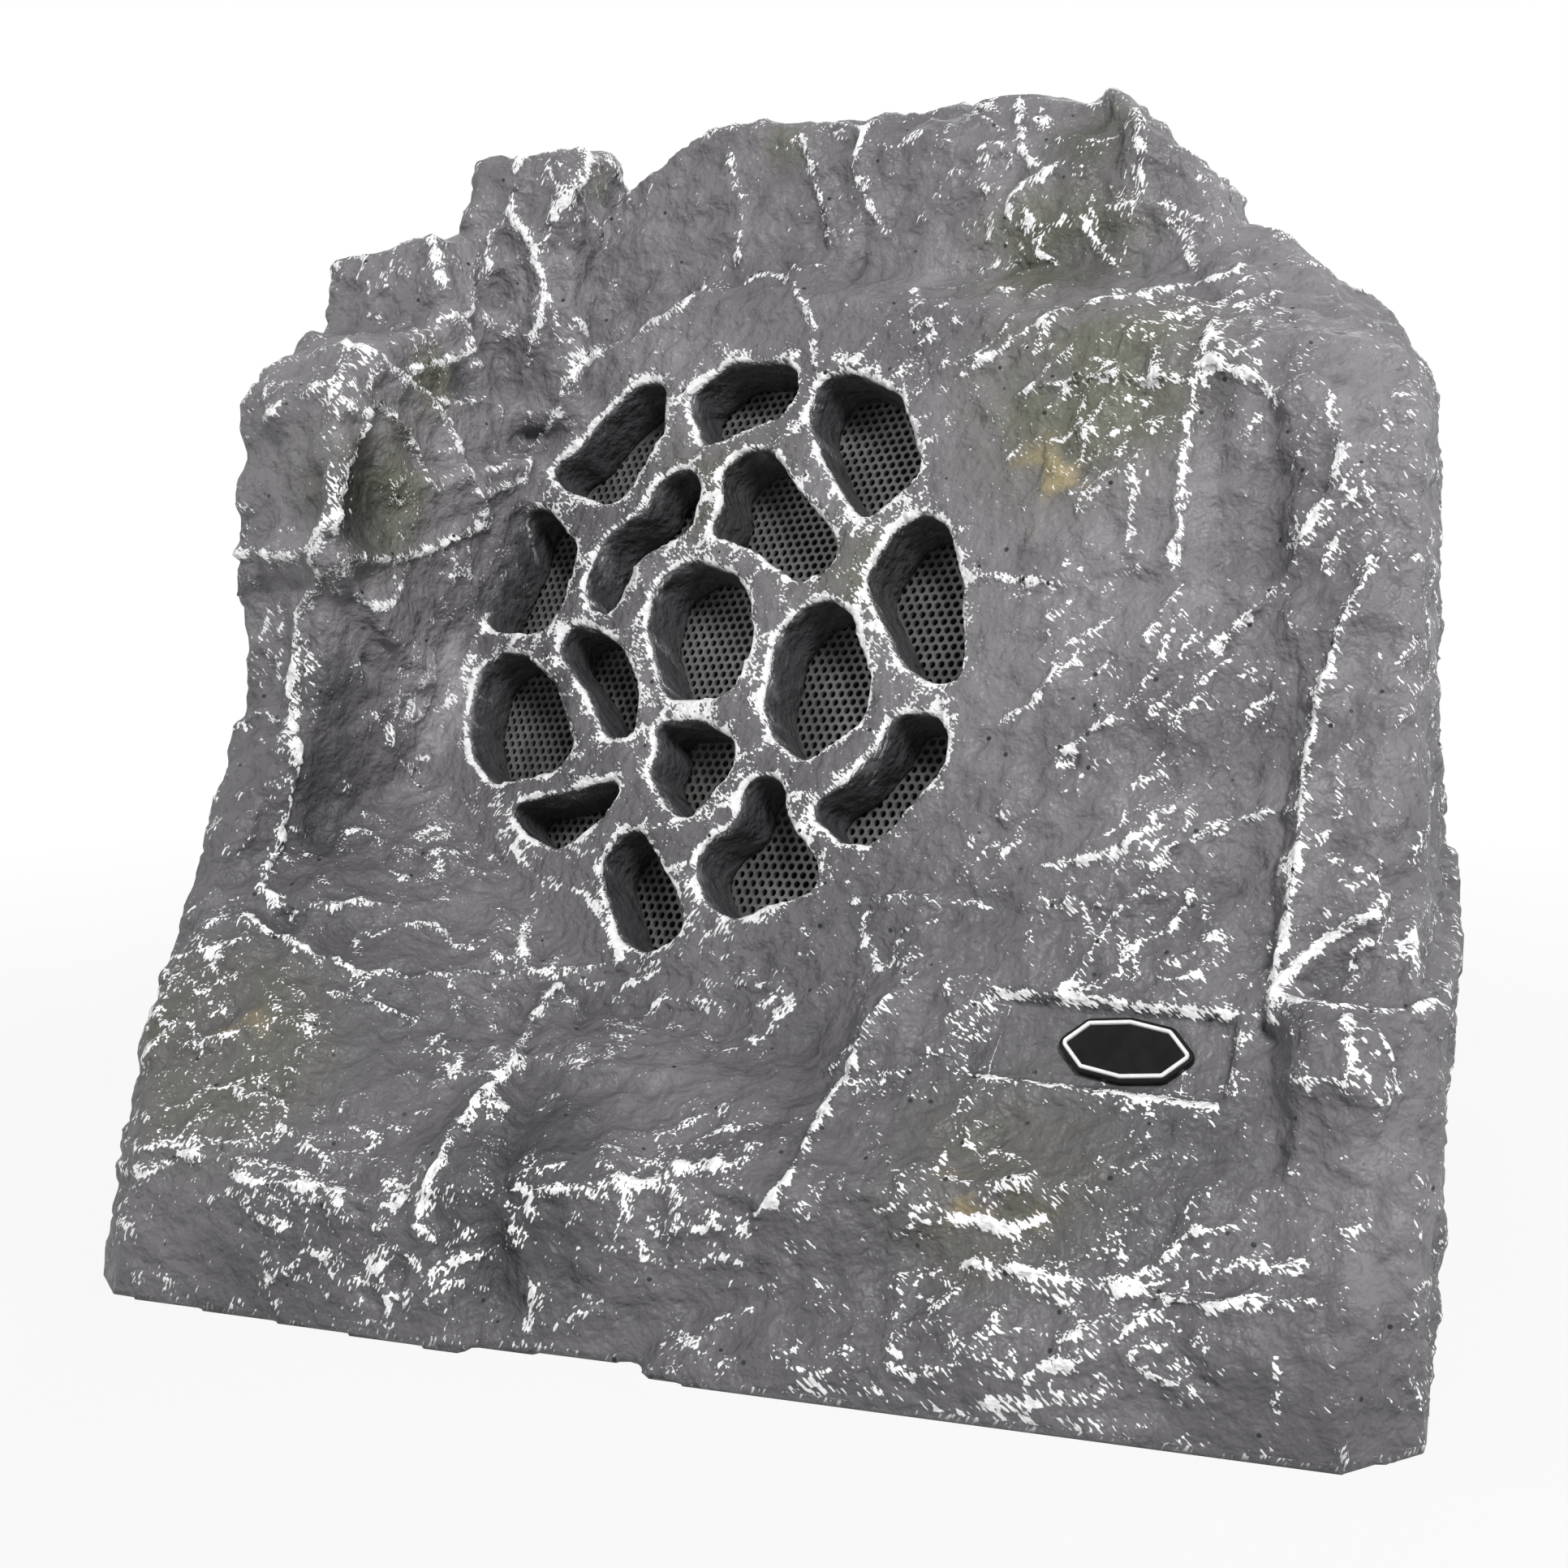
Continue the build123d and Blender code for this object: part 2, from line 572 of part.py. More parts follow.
def make_driver_basket():
    """Pressed steel frame: a flange, a conical wall with windows, a back ring and a tab for the tags."""
    wall = BASKET_THICKNESS
    basket = turned((FLANGE_RADIUS, FLANGE_FRONT), (BASKET_MOUTH, FLANGE_FRONT),
                    (BASKET_BACK_RADIUS - wall, BASKET_BACK + wall), (BASKET_BORE, BASKET_BACK + wall),
                    (BASKET_BORE, BASKET_BACK), (BASKET_BACK_RADIUS, BASKET_BACK),
                    (BASKET_MOUTH + wall, FLANGE_BACK), (FLANGE_RADIUS, FLANGE_BACK))
    middle = (FLANGE_FRONT + BASKET_BACK) / 2
    window = Pos(BASKET_MOUTH, 0, middle) * Box(2 * BASKET_MOUTH, BASKET_WINDOW_WIDTH, BASKET_WINDOW_HEIGHT)
    for turn in range(BASKET_WINDOWS):
        basket -= Rot(0, 0, turn * 360 / BASKET_WINDOWS) * window
    tab_end = BASKET_BACK_RADIUS + TAG_REACH
    tab_start = BASKET_BACK_RADIUS - wall
    tab_middle = -(tab_start + tab_end) / 2
    basket += Pos(0, tab_middle, BASKET_BACK + wall / 2) * Box(TAG_WIDTH, tab_end - tab_start, wall)
    hole = rod(SCREW_HOLE, FLANGE_BACK - 1, FLANGE_FRONT + 1)
    for place in driver_screw_places():
        basket -= place * hole
    return on_driver_axis(basket)


def cone_front(radius):
    """Place along the axis of the cone's front surface at a radius."""
    slope = CONE_DEPTH / (CONE_RADIUS - CONE_GLUE_WIDTH - COIL_RADIUS)
    return CONE_NECK + (radius - COIL_RADIUS) * slope


def make_cone():
    """Paper cone, from the voice coil to the glued edge of the surround."""
    edge = CONE_RADIUS - CONE_GLUE_WIDTH
    return on_driver_axis(turned((CONE_RADIUS, FLANGE_FRONT), (CONE_RADIUS, FLANGE_FRONT - CONE_THICKNESS),
                                 (COIL_RADIUS, CONE_NECK - CONE_THICKNESS), (COIL_RADIUS, CONE_NECK),
                                 (edge, FLANGE_FRONT)))


def make_surround():
    """Rubber roll between the cone's edge and the flange, with a flat foot glued on each."""
    thick = SURROUND_THICKNESS
    lip = CONE_RADIUS - CONE_GLUE_WIDTH
    foot = FLANGE_FRONT + thick
    crown = FLANGE_FRONT + ROLL_RISE
    middle = CONE_RADIUS + ROLL_WIDTH / 2
    inner_top = middle - ROLL_TOP / 2
    outer_top = middle + ROLL_TOP / 2
    back = [(lip, FLANGE_FRONT), (CONE_RADIUS, FLANGE_FRONT), (inner_top, crown - thick),
            (outer_top, crown - thick), (ROLL_RADIUS, FLANGE_FRONT), (SURROUND_RADIUS, FLANGE_FRONT)]
    front = [(SURROUND_RADIUS, foot), (ROLL_RADIUS, foot), (outer_top, crown), (inner_top, crown),
             (CONE_RADIUS, foot), (lip, foot)]
    return on_driver_axis(turned(*back, *front))


def make_dust_cap():
    """Cap glued on the cone over the voice coil, with a flatter crown."""
    rim = cone_front(CAP_RADIUS)
    shoulder = rim + CAP_RISE - CAP_CROWN_RISE
    top = rim + CAP_RISE
    wall = CAP_THICKNESS
    return on_driver_axis(turned((0, top), (CAP_CROWN, shoulder), (CAP_RADIUS, rim), (CAP_RADIUS - wall, rim),
                                 (CAP_CROWN - wall, shoulder - wall), (0, top - wall)))


def make_voice_coil():
    """Coil former with its winding, in the magnet's gap."""
    return on_driver_axis(ring(COIL_RADIUS - COIL_THICKNESS, COIL_RADIUS, CONE_NECK - COIL_LENGTH, CONE_NECK))


def make_spider():
    """Centring disc between the coil former and the basket's wall."""
    bottom = BASKET_BACK + SPIDER_HEIGHT
    run = (BASKET_MOUTH - BASKET_BACK_RADIUS + BASKET_THICKNESS) / (BASKET_DEPTH - BASKET_THICKNESS)
    wall = BASKET_BACK_RADIUS - BASKET_THICKNESS + (SPIDER_HEIGHT - BASKET_THICKNESS) * run
    return on_driver_axis(ring(COIL_RADIUS, wall - SPIDER_CLEARANCE, bottom, bottom + SPIDER_THICKNESS))


def make_top_plate():
    """Front plate of the magnet."""
    bore = COIL_RADIUS + COIL_GAP
    return on_driver_axis(ring(bore, PLATE_RADIUS, PLATE_BACK, BASKET_BACK))


def make_ferrite_magnet():
    """Ferrite ring."""
    return on_driver_axis(ring(MAGNET_BORE, MAGNET_RADIUS, MAGNET_BACK, PLATE_BACK))


def make_pole_yoke():
    """Back plate and pole of the magnet, in one piece."""
    pole = COIL_RADIUS - COIL_THICKNESS - COIL_GAP
    return on_driver_axis(turned((0, BASKET_BACK), (pole, BASKET_BACK), (pole, MAGNET_BACK),
                                 (YOKE_RADIUS, MAGNET_BACK), (YOKE_RADIUS, YOKE_BACK), (0, YOKE_BACK)))


def make_driver_terminals():
    """Insulating strip with two blades on the basket's tab."""
    length = TAG_REACH - TAG_INSET
    strip = Pos(0, -TAG_MIDDLE, BASKET_BACK - TAG_THICKNESS / 2) * Box(TAG_WIDTH, length, TAG_THICKNESS)
    blade = extrude(Rectangle(BLADE_WIDTH, BLADE_THICKNESS), -BLADE_LENGTH)
    for side in (-1, 1):
        strip += Pos(side * BLADE_SPACING / 2, -TAG_MIDDLE, BASKET_BACK - TAG_THICKNESS) * blade
    return on_driver_axis(strip)


def screw(head_width, head_height, shank_diameter, reach):
    """Six sided screw along +Z: the head lies below zero and the shank above it."""
    head = extrude(RegularPolygon(head_width / 2, 6, major_radius=False), -head_height)
    return head + rod(shank_diameter, 0, reach)


def make_driver_screws():
    """Screws through the flange into the well's wall."""
    reach = FLANGE_THICKNESS + DRIVER_SCREW_BITE
    one = Pos(0, 0, FLANGE_BACK) * screw(SCREW_HEAD_WIDTH, SCREW_HEAD_HEIGHT, SCREW_DIAMETER, reach)
    return Compound([on_driver_axis(place * one) for place in driver_screw_places()])


def make_base_plate():
    """Flat plate that closes the rock from below."""
    plate = base_slab(BASE_CLEARANCE, BASE_BOTTOM, BASE_TOP)
    hole = rod(SCREW_HOLE, BASE_BOTTOM - 1, BASE_TOP + 1)
    for place in base_screw_places():
        plate -= Pos(place.X, place.Y, 0) * hole
    return plate


def make_base_seal():
    """Foam seal between the base plate and the ledge, inside the line of the screws."""
    inside = LEDGE_WIDTH - SEAL_MARGIN
    seal = base_slab(inside - SEAL_WIDTH, BASE_TOP, LEDGE_BOTTOM)
    return seal - base_slab(inside, BASE_TOP - 1, LEDGE_TOP)


def make_base_screws():
    """Screws from below through the base plate into the ledge."""
    reach = BASE_THICKNESS + SEAL_THICKNESS + BASE_SCREW_BITE
    one = Pos(0, 0, BASE_BOTTOM) * screw(SCREW_HEAD_WIDTH, SCREW_HEAD_HEIGHT, SCREW_DIAMETER, reach)
    return Compound([Pos(place.X, place.Y, 0) * one for place in base_screw_places()])


def board_corners():
    """Places of the four board holes."""
    length = BOARD_LENGTH - 2 * BOARD_HOLE_INSET
    width = BOARD_WIDTH - 2 * BOARD_HOLE_INSET
    return [Pos(BOARD_X, BOARD_Y, 0) * place for place in GridLocations(length, width, 2, 2).locations]


def make_amplifier_board():
    """Amplifier board on its standoffs."""
    sheet = extrude(Rectangle(BOARD_LENGTH, BOARD_WIDTH), BOARD_THICKNESS)
    board = Pos(BOARD_X, BOARD_Y, BOARD_BOTTOM) * sheet
    hole = rod(BOARD_HOLE, BOARD_BOTTOM - 1, BOARD_TOP + 1)
    for place in board_corners():
        board -= place * hole
    return board


def make_board_standoffs():
    """Four six sided posts between the base plate and the board, bored for the board screws."""
    section = RegularPolygon(STANDOFF_WIDTH / 2, 6, major_radius=False)
    post = Pos(0, 0, BASE_TOP) * extrude(section, STANDOFF_HEIGHT)
    post -= rod(BOARD_HOLE, BOARD_BOTTOM - BOARD_SCREW_BITE - SCREW_CLEARANCE, BOARD_TOP)
    return Compound([place * post for place in board_corners()])


def make_board_screws():
    """Four screws that hold the board down."""
    reach = BOARD_THICKNESS + BOARD_SCREW_BITE
    one = Rot(180, 0, 0) * screw(BOARD_SCREW_HEAD, SCREW_HEAD_HEIGHT, BOARD_SCREW_DIAMETER, reach)
    return Compound([place * Pos(0, 0, BOARD_TOP) * one for place in board_corners()])


def on_board(x, y, piece):
    """Set a piece drawn from zero upwards on the board."""
    return Pos(BOARD_X + x, BOARD_Y + y, BOARD_TOP) * piece


def make_heat_sink():
    """Finned aluminium heat sink, extruded along the board."""
    profile = Rectangle(SINK_WIDTH, SINK_BASE, align=(Align.CENTER, Align.MIN))
    step = (SINK_WIDTH - SINK_FIN) / (SINK_FINS - 1)
    for i in range(SINK_FINS):
        fin = Rectangle(SINK_FIN, SINK_HEIGHT, align=(Align.CENTER, Align.MIN))
        profile += Pos((i - (SINK_FINS - 1) / 2) * step, 0) * fin
    sink = Rot(0, 0, 90) * extrude(Plane.XZ * profile, SINK_LENGTH / 2, both=True)
    return on_board(SINK_X, (BOARD_WIDTH - SINK_WIDTH) / 2 - SINK_EDGE, sink)


def make_capacitors():
    """Upright storage capacitors beside the heat sink."""
    can = rod(CAPACITOR_DIAMETER, 0, CAPACITOR_HEIGHT)
    places = [CAPACITOR_X + i * CAPACITOR_SPACING for i in range(CAPACITORS)]
    return Compound([on_board(x, CAPACITOR_Y, can) for x in places])


def make_receiver_module():
    """Small shielded radio module."""
    module = extrude(RectangleRounded(RECEIVER_LENGTH, RECEIVER_WIDTH, RECEIVER_CORNER), RECEIVER_HEIGHT)
    return on_board((BOARD_LENGTH - RECEIVER_LENGTH) / 2 - RECEIVER_EDGE, RECEIVER_Y, module)


def make_terminal_block():
    """Terminal block where the lead to the loudspeaker starts."""
    block = extrude(Rectangle(TERMINAL_LENGTH, TERMINAL_WIDTH), TERMINAL_HEIGHT)
    return on_board(TERMINAL_X, TERMINAL_Y, block)


def make_speaker_lead():
    """Flat twin lead from the terminal block up to the blades on the loudspeaker."""
    start = Vector(BOARD_X + TERMINAL_X, BOARD_Y + TERMINAL_Y, BOARD_TOP + TERMINAL_HEIGHT)
    end = SEAT.from_local_coords(Vector(0, -TAG_MIDDLE, BASKET_BACK - TAG_THICKNESS - BLADE_LENGTH))
    before = end - GRILLE_AXIS * LEAD_STRAIGHT
    above = start + Vector(0, 0, LEAD_STRAIGHT)
    path = FilletPolyline(start, above, before, end, radius=LEAD_BEND)
    section = Plane(origin=start, x_dir=(1, 0, 0), z_dir=(0, 0, 1)) * Rectangle(LEAD_WIDTH, LEAD_THICKNESS)
    return sweep(section, path=path)


def make_power_socket():
    """Flanged low voltage socket, seen from outside as a ring with a blind bore."""
    top = SOCKET_WASHER_THICKNESS + SOCKET_FLANGE_THICKNESS
    body = rod(SOCKET_FLANGE, SOCKET_WASHER_THICKNESS, top) + rod(SOCKET_BARREL, top - SOCKET_LENGTH, top)
    body -= rod(SOCKET_BORE, top - SOCKET_BORE_DEPTH, top + 1)
    return socket_plane().location * body


def make_socket_washer():
    """Rubber washer under the socket's flange."""
    washer = ring(SOCKET_HOLE / 2, SOCKET_FLANGE / 2, 0, SOCKET_WASHER_THICKNESS)
    return socket_plane().location * washer


def make_socket_nut():
    """Six sided nut on the inside of the wall."""
    nut = extrude(RegularPolygon(SOCKET_NUT / 2, 6, major_radius=False), SOCKET_NUT_THICKNESS)
    nut -= rod(SOCKET_HOLE, -1, SOCKET_NUT_THICKNESS + 1)
    return socket_plane().location * Pos(0, 0, -ROCK_WALL - SOCKET_NUT_THICKNESS) * nut


PARTS = {
    "rock_shell": make_rock_shell(),
    "badge": make_badge(),
    "perforated_grille": make_perforated_grille(),
    "grille_gasket": make_grille_gasket(),
    "driver_basket": make_driver_basket(),
    "surround": make_surround(),
    "cone": make_cone(),
    "dust_cap": make_dust_cap(),
    "voice_coil": make_voice_coil(),
    "spider": make_spider(),
    "top_plate": make_top_plate(),
    "ferrite_magnet": make_ferrite_magnet(),
    "pole_yoke": make_pole_yoke(),
    "driver_terminals": make_driver_terminals(),
    "driver_screws": make_driver_screws(),
    "base_plate": make_base_plate(),
    "base_seal": make_base_seal(),
    "base_screws": make_base_screws(),
    "amplifier_board": make_amplifier_board(),
    "board_standoffs": make_board_standoffs(),
    "board_screws": make_board_screws(),
    "heat_sink": make_heat_sink(),
    "capacitors": make_capacitors(),
    "receiver_module": make_receiver_module(),
    "terminal_block": make_terminal_block(),
    "speaker_lead": make_speaker_lead(),
    "power_socket": make_power_socket(),
    "socket_washer": make_socket_washer(),
    "socket_nut": make_socket_nut(),
}

os.makedirs("parts", exist_ok=True)
for name, part in PARTS.items():
    export_step(part, f"parts/{name}.step")
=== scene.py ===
# %% [markdown]
# # A garden speaker that looks like a rock
#
# The speaker is one hollow casting of resin, painted to look like stone. Cell shaped openings are cut
# through its front, and a perforated sheet behind them covers the loudspeaker. What is left is the surface:
# the broken stone, the paint on it and the fine sheet.

# %% Load the solids
from math import cos, radians, sin, sqrt

import bpy
import numpy as np
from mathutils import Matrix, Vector
from mathutils.bvhtree import BVHTree
from mathutils.kdtree import KDTree


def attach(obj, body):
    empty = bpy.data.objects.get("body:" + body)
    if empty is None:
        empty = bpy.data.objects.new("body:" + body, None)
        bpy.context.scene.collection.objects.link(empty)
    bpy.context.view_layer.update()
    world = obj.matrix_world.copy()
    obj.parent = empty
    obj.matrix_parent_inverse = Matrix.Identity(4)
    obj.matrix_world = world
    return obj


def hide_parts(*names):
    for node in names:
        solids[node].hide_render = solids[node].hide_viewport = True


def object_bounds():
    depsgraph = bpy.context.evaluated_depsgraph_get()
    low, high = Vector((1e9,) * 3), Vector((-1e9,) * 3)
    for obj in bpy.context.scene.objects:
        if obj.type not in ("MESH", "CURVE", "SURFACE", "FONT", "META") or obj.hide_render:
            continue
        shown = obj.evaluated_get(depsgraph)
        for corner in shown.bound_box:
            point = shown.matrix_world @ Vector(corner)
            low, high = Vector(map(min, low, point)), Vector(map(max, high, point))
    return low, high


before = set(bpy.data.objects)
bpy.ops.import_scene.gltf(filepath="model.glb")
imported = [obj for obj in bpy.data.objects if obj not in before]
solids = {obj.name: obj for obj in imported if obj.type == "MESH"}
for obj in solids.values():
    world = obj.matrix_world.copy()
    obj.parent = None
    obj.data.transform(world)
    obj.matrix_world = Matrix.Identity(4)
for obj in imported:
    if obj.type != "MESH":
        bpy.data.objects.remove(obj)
cad_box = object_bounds()
print("solids:", len(solids), "box:", [[round(v, 4) for v in corner] for corner in cad_box])

# %% [markdown]
# ## The camera
#
# The photograph was taken from close by, a little to the right of the middle and slightly from above. The
# lines of holes in the perforated sheet give the lens: they close up towards the far side as they only do
# with a lens of about 47 mm on a 36 mm picture. The camera is made first, because the ridges of the rock
# are later placed by where they appear in the picture.

# %% Camera
PICTURE = 1932
LENS = 0.04658
SENSOR = 0.036
CAMERA_PLACE = Vector((0.1585, -0.574, 0.205))
CAMERA_TURN = 17.0
CAMERA_DOWN = 8.0
PIXELS_PER_SLOPE = PICTURE * LENS / SENSOR


def add_object(name, data):
    """New object in the scene."""
    thing = bpy.data.objects.new(name, data)
    bpy.context.scene.collection.objects.link(thing)
    return thing


camera_data = bpy.data.cameras.new("camera")
camera_data.sensor_width = SENSOR * 1000
camera_data.lens = LENS * 1000
camera_data.clip_start = 0.01
camera = add_object("camera", camera_data)
camera.location = CAMERA_PLACE
camera.rotation_euler = (radians(90 - CAMERA_DOWN), 0, radians(CAMERA_TURN))
bpy.context.scene.camera = camera
bpy.context.scene.view_settings.view_transform = "Standard"
print("camera at", [round(v, 3) for v in CAMERA_PLACE])


def picture_ray(column, row):
    """Direction from the camera through a pixel of the picture."""
    turn, down = radians(CAMERA_TURN), radians(CAMERA_DOWN)
    right = Vector((cos(turn), sin(turn), 0))
    forward = Vector((-sin(turn) * cos(down), cos(turn) * cos(down), -sin(down)))
    below = forward.cross(right)
    across = (column - PICTURE / 2) / PIXELS_PER_SLOPE
    fall = (row - PICTURE / 2) / PIXELS_PER_SLOPE
    return (forward + right * across + below * fall).normalized()


# %% [markdown]
# ## Floor and light
#
# A white table and a white wall, as in a small studio. The floor shows almost white to the camera but still
# takes the soft shadow under the rock, and further out it fades into the white of the wall. A soft lamp
# above on the right gives the shapes their shading, two weaker ones light the sides, and one stands behind.

# %% Floor and light
def add_node(tree, kind, settings=(), inputs=()):
    """New shader node. An input may be a plain value or the output of another node."""
    node = tree.nodes.new(kind)
    for key, value in dict(settings).items():
        setattr(node, key, value)
    for key, value in dict(inputs).items():
        if isinstance(value, bpy.types.NodeSocket):
            tree.links.new(value, node.inputs[key])
        else:
            node.inputs[key].default_value = value
    return node


def maths(tree, operation, first, second=0.0):
    """Output of a maths node."""
    return add_node(tree, "ShaderNodeMath", {"operation": operation}, {0: first, 1: second}).outputs[0]


def ramp(tree, value, low, high, start=0.0, end=1.0, shape="SMOOTHSTEP"):
    """Change from start at low to end at high, level beyond them."""
    node = add_node(tree, "ShaderNodeMapRange", {"interpolation_type": shape},
                    {"Value": value, "From Min": low, "From Max": high, "To Min": start, "To Max": end})
    return node.outputs[0]


def seen_straight(tree):
    """1 for what the camera sees straight or in a reflection, 0 for light that falls on the rock."""
    path = add_node(tree, "ShaderNodeLightPath").outputs
    return maths(tree, "MAXIMUM", path["Is Camera Ray"], path["Is Glossy Ray"])


FLOOR_SIZE = 12
FLOOR_GREY = (0.55, 0.55, 0.55, 1)
FLOOR_WHITE_SHARE = 0.86
FLOOR_FADE = (0.3, 0.75)
floor_paint = bpy.data.materials.new("pale_floor")
floor_paint.use_nodes = True
tree = floor_paint.node_tree
tree.nodes.clear()
place = add_node(tree, "ShaderNodeTexCoord").outputs["Object"]
from_rock = add_node(tree, "ShaderNodeVectorMath", {"operation": "LENGTH"}, {0: place}).outputs["Value"]
whiteness = ramp(tree, from_rock, *FLOOR_FADE, FLOOR_WHITE_SHARE, 1.0, "LINEAR")
share = maths(tree, "MULTIPLY", seen_straight(tree), whiteness)
dull = add_node(tree, "ShaderNodeBsdfDiffuse", inputs={"Color": FLOOR_GREY})
white = add_node(tree, "ShaderNodeEmission")
mix = add_node(tree, "ShaderNodeMixShader", inputs={0: share, 1: dull.outputs[0], 2: white.outputs[0]})
add_node(tree, "ShaderNodeOutputMaterial", inputs={0: mix.outputs[0]})

bpy.ops.mesh.primitive_plane_add(size=FLOOR_SIZE, location=(0, 0, 0))
floor = bpy.context.object
floor.name = "floor"
floor.data.materials.append(floor_paint)

ROOM_LIGHT = 0.30
world = bpy.data.worlds.new("studio")
bpy.context.scene.world = world
world.use_nodes = True
sky = world.node_tree.nodes["Background"]
sky.inputs["Color"].default_value = (1, 1, 1, 1)
level = ramp(world.node_tree, seen_straight(world.node_tree), 0.0, 1.0, ROOM_LIGHT, 1.0, "LINEAR")
world.node_tree.links.new(level, sky.inputs["Strength"])

# Place and size in metres, power in watts
LAMPS = {
    "key": ((0.6, -1.15, 1.25), 0.4, 26),
    "left_fill": ((-1.2, -0.7, 0.7), 1.0, 3.5),
    "right_fill": ((1.3, -0.1, 0.7), 0.8, 6),
    "back_fill": ((-0.2, 1.5, 1.0), 1.0, 10),
}
ROCK_MIDDLE = Vector((0, 0, 0.16))
for name, (place, size, power) in LAMPS.items():
    lamp = bpy.data.lights.new(name, "AREA")
    lamp.size = size
    lamp.energy = power
    holder = add_object(name, lamp)
    holder.location = place
    holder.rotation_euler = (ROCK_MIDDLE - Vector(place)).to_track_quat("-Z", "Y").to_euler()
print("lamps:", len(LAMPS))

# %% [markdown]
# ## An even skin for the rock
#
# The solid rock has large plane facets. To break them up like stone, the casting first gets a fine, even
# mesh all over, inside and out, as if it were wrapped in a net of equal squares. The skin that weather and
# brush can reach is then found by walking over the net from the top of the rock without passing through an
# opening, under the rim or into the socket's hole. Only that outer skin is worked on.

# %% Even skin
SKIN_STEP = 0.0015


def applied(thing):
    """Mesh of an object with its modifiers worked in."""
    return bpy.data.meshes.new_from_object(thing.evaluated_get(bpy.context.evaluated_depsgraph_get()))


rock_solid = solids["rock_shell"]
net_base = add_object("net_base", rock_solid.data.copy())
remesh = net_base.modifiers.new("even", "REMESH")
remesh.mode = "VOXEL"
remesh.voxel_size = SKIN_STEP
net_mesh = applied(net_base)
bpy.data.objects.remove(net_base)


def read(collection, name, width, kind):
    """Values of a mesh as an array with one row for each element."""
    values = np.empty(len(collection) * width, kind)
    collection.foreach_get(name, values)
    return values.reshape(-1, width)


points = read(net_mesh.vertices, "co", 3, np.float32).astype(float)
even_points = points.copy()
edges = read(net_mesh.edges, "vertices", 2, np.int32)
net_mesh.calc_loop_triangles()
triangles = read(net_mesh.loop_triangles, "vertices", 3, np.int32)


def neighbour_table():
    """Row of neighbours for each point, filled up with the point itself."""
    ends = np.concatenate([edges, edges[:, ::-1]])
    ends = ends[np.argsort(ends[:, 0], kind="stable")]
    first = np.searchsorted(ends[:, 0], np.arange(len(points)))
    place = np.arange(len(ends)) - first[ends[:, 0]]
    table = np.repeat(np.arange(len(points))[:, None], place.max() + 1, axis=1)
    table[ends[:, 0], place] = ends[:, 1]
    return table


beside = neighbour_table()


def walk(start, closed):
    """Points that can be reached over the net from a start without entering closed ones."""
    reached = np.zeros(len(points), bool)
    front = np.array([start])
    while len(front):
        reached[front] = True
        front = np.unique(beside[front])
        front = front[~reached[front] & ~closed[front]]
    return reached


def about_axis(places, centre, axis):
    """Distance from an axis and height along it."""
    offset = places - centre
    height = offset @ axis
    return np.sqrt(np.maximum((offset ** 2).sum(1) - height ** 2, 0)), height


SEAT_CENTRE = np.array([-0.0305, 0.002, 0.158])
SEAT_AXIS = np.array([-0.2926, -0.8498, 0.4384])
PANEL_THICKNESS = 0.020
OPENINGS_RADIUS = 0.101
SOCKET_CENTRE = np.array([0.095, 0.1463, 0.074])
SOCKET_AXIS = np.array([0.0, 0.9945, 0.1045])
SOCKET_RADIUS = 0.008
SOCKET_DEPTH = 0.02
RIM_HEIGHT = 0.0012

seat_radius, seat_height = about_axis(points, SEAT_CENTRE, SEAT_AXIS)
socket_radius, socket_height = about_axis(points, SOCKET_CENTRE, SOCKET_AXIS)
below_panel = (seat_height < PANEL_THICKNESS - 1.5 * SKIN_STEP) & (seat_height > -PANEL_THICKNESS)
in_openings = below_panel & (seat_radius < OPENINGS_RADIUS)
in_socket = (socket_radius < SOCKET_RADIUS) & (socket_height < -SKIN_STEP) & (socket_height > -SOCKET_DEPTH)
under_rim = points[:, 2] < RIM_HEIGHT
outer = walk(points[:, 2].argmax(), in_openings | in_socket | under_rim)
print("net:", len(points), "points, outer skin:", outer.sum())

# %% [markdown]
# ## The recessed field
#
# Low on the right a flat field is let into the rock for the badge. Its frame is found from the solid badge,
# which lies flat on the field's floor. Each point of the net stores how far it lies outside the field's
# outline.

# %% The recessed field
FIELD_TURN = radians(-8)
FIELD_LEAN = radians(38)
FIELD_SIZE = (0.063, 0.022)
FIELD_NEAR = 0.06
BADGE_OFFSET = 0.006
FIELD_RIGHT = np.array([cos(FIELD_TURN), sin(FIELD_TURN), 0])
FIELD_OUT = np.array([sin(FIELD_TURN) * cos(FIELD_LEAN), -cos(FIELD_TURN) * cos(FIELD_LEAN),
                      sin(FIELD_LEAN)])
FIELD_UP = np.cross(FIELD_OUT, FIELD_RIGHT)
field_axes = np.array([FIELD_RIGHT, FIELD_UP, FIELD_OUT])
badge_corners = read(solids["badge"].data.vertices, "co", 3, np.float32) @ field_axes.T
badge_low, badge_high = badge_corners.min(0), badge_corners.max(0)
badge_centre = np.array([*(badge_low + badge_high)[:2] / 2, badge_low[2]]) @ field_axes
field_offset = points - (badge_centre - BADGE_OFFSET * FIELD_RIGHT)
field_across = np.abs(field_offset @ FIELD_RIGHT) - FIELD_SIZE[0] / 2
field_up = np.abs(field_offset @ FIELD_UP) - FIELD_SIZE[1] / 2
by_badge = np.linalg.norm(field_offset, axis=1) < FIELD_NEAR
field_away = np.where(by_badge, np.maximum(field_across, field_up), 1)
print("recessed field:", (field_away < 0).sum(), "points")

# %% [markdown]
# ## Weathered edges
#
# A casting taken from real stone has no knife edges. The outer skin is relaxed a few times, each point
# moving towards its neighbours, which rounds the facets' edges by a few millimetres. The recessed field,
# the socket's seat and the foot stay as they are and the panel round the openings nearly so, because the
# maker cut those clean.

# %% Weathered edges
def spread(values, rounds):
    """Average values with their neighbours a number of times."""
    for _ in range(rounds):
        values = values[beside].mean(1)
    return values


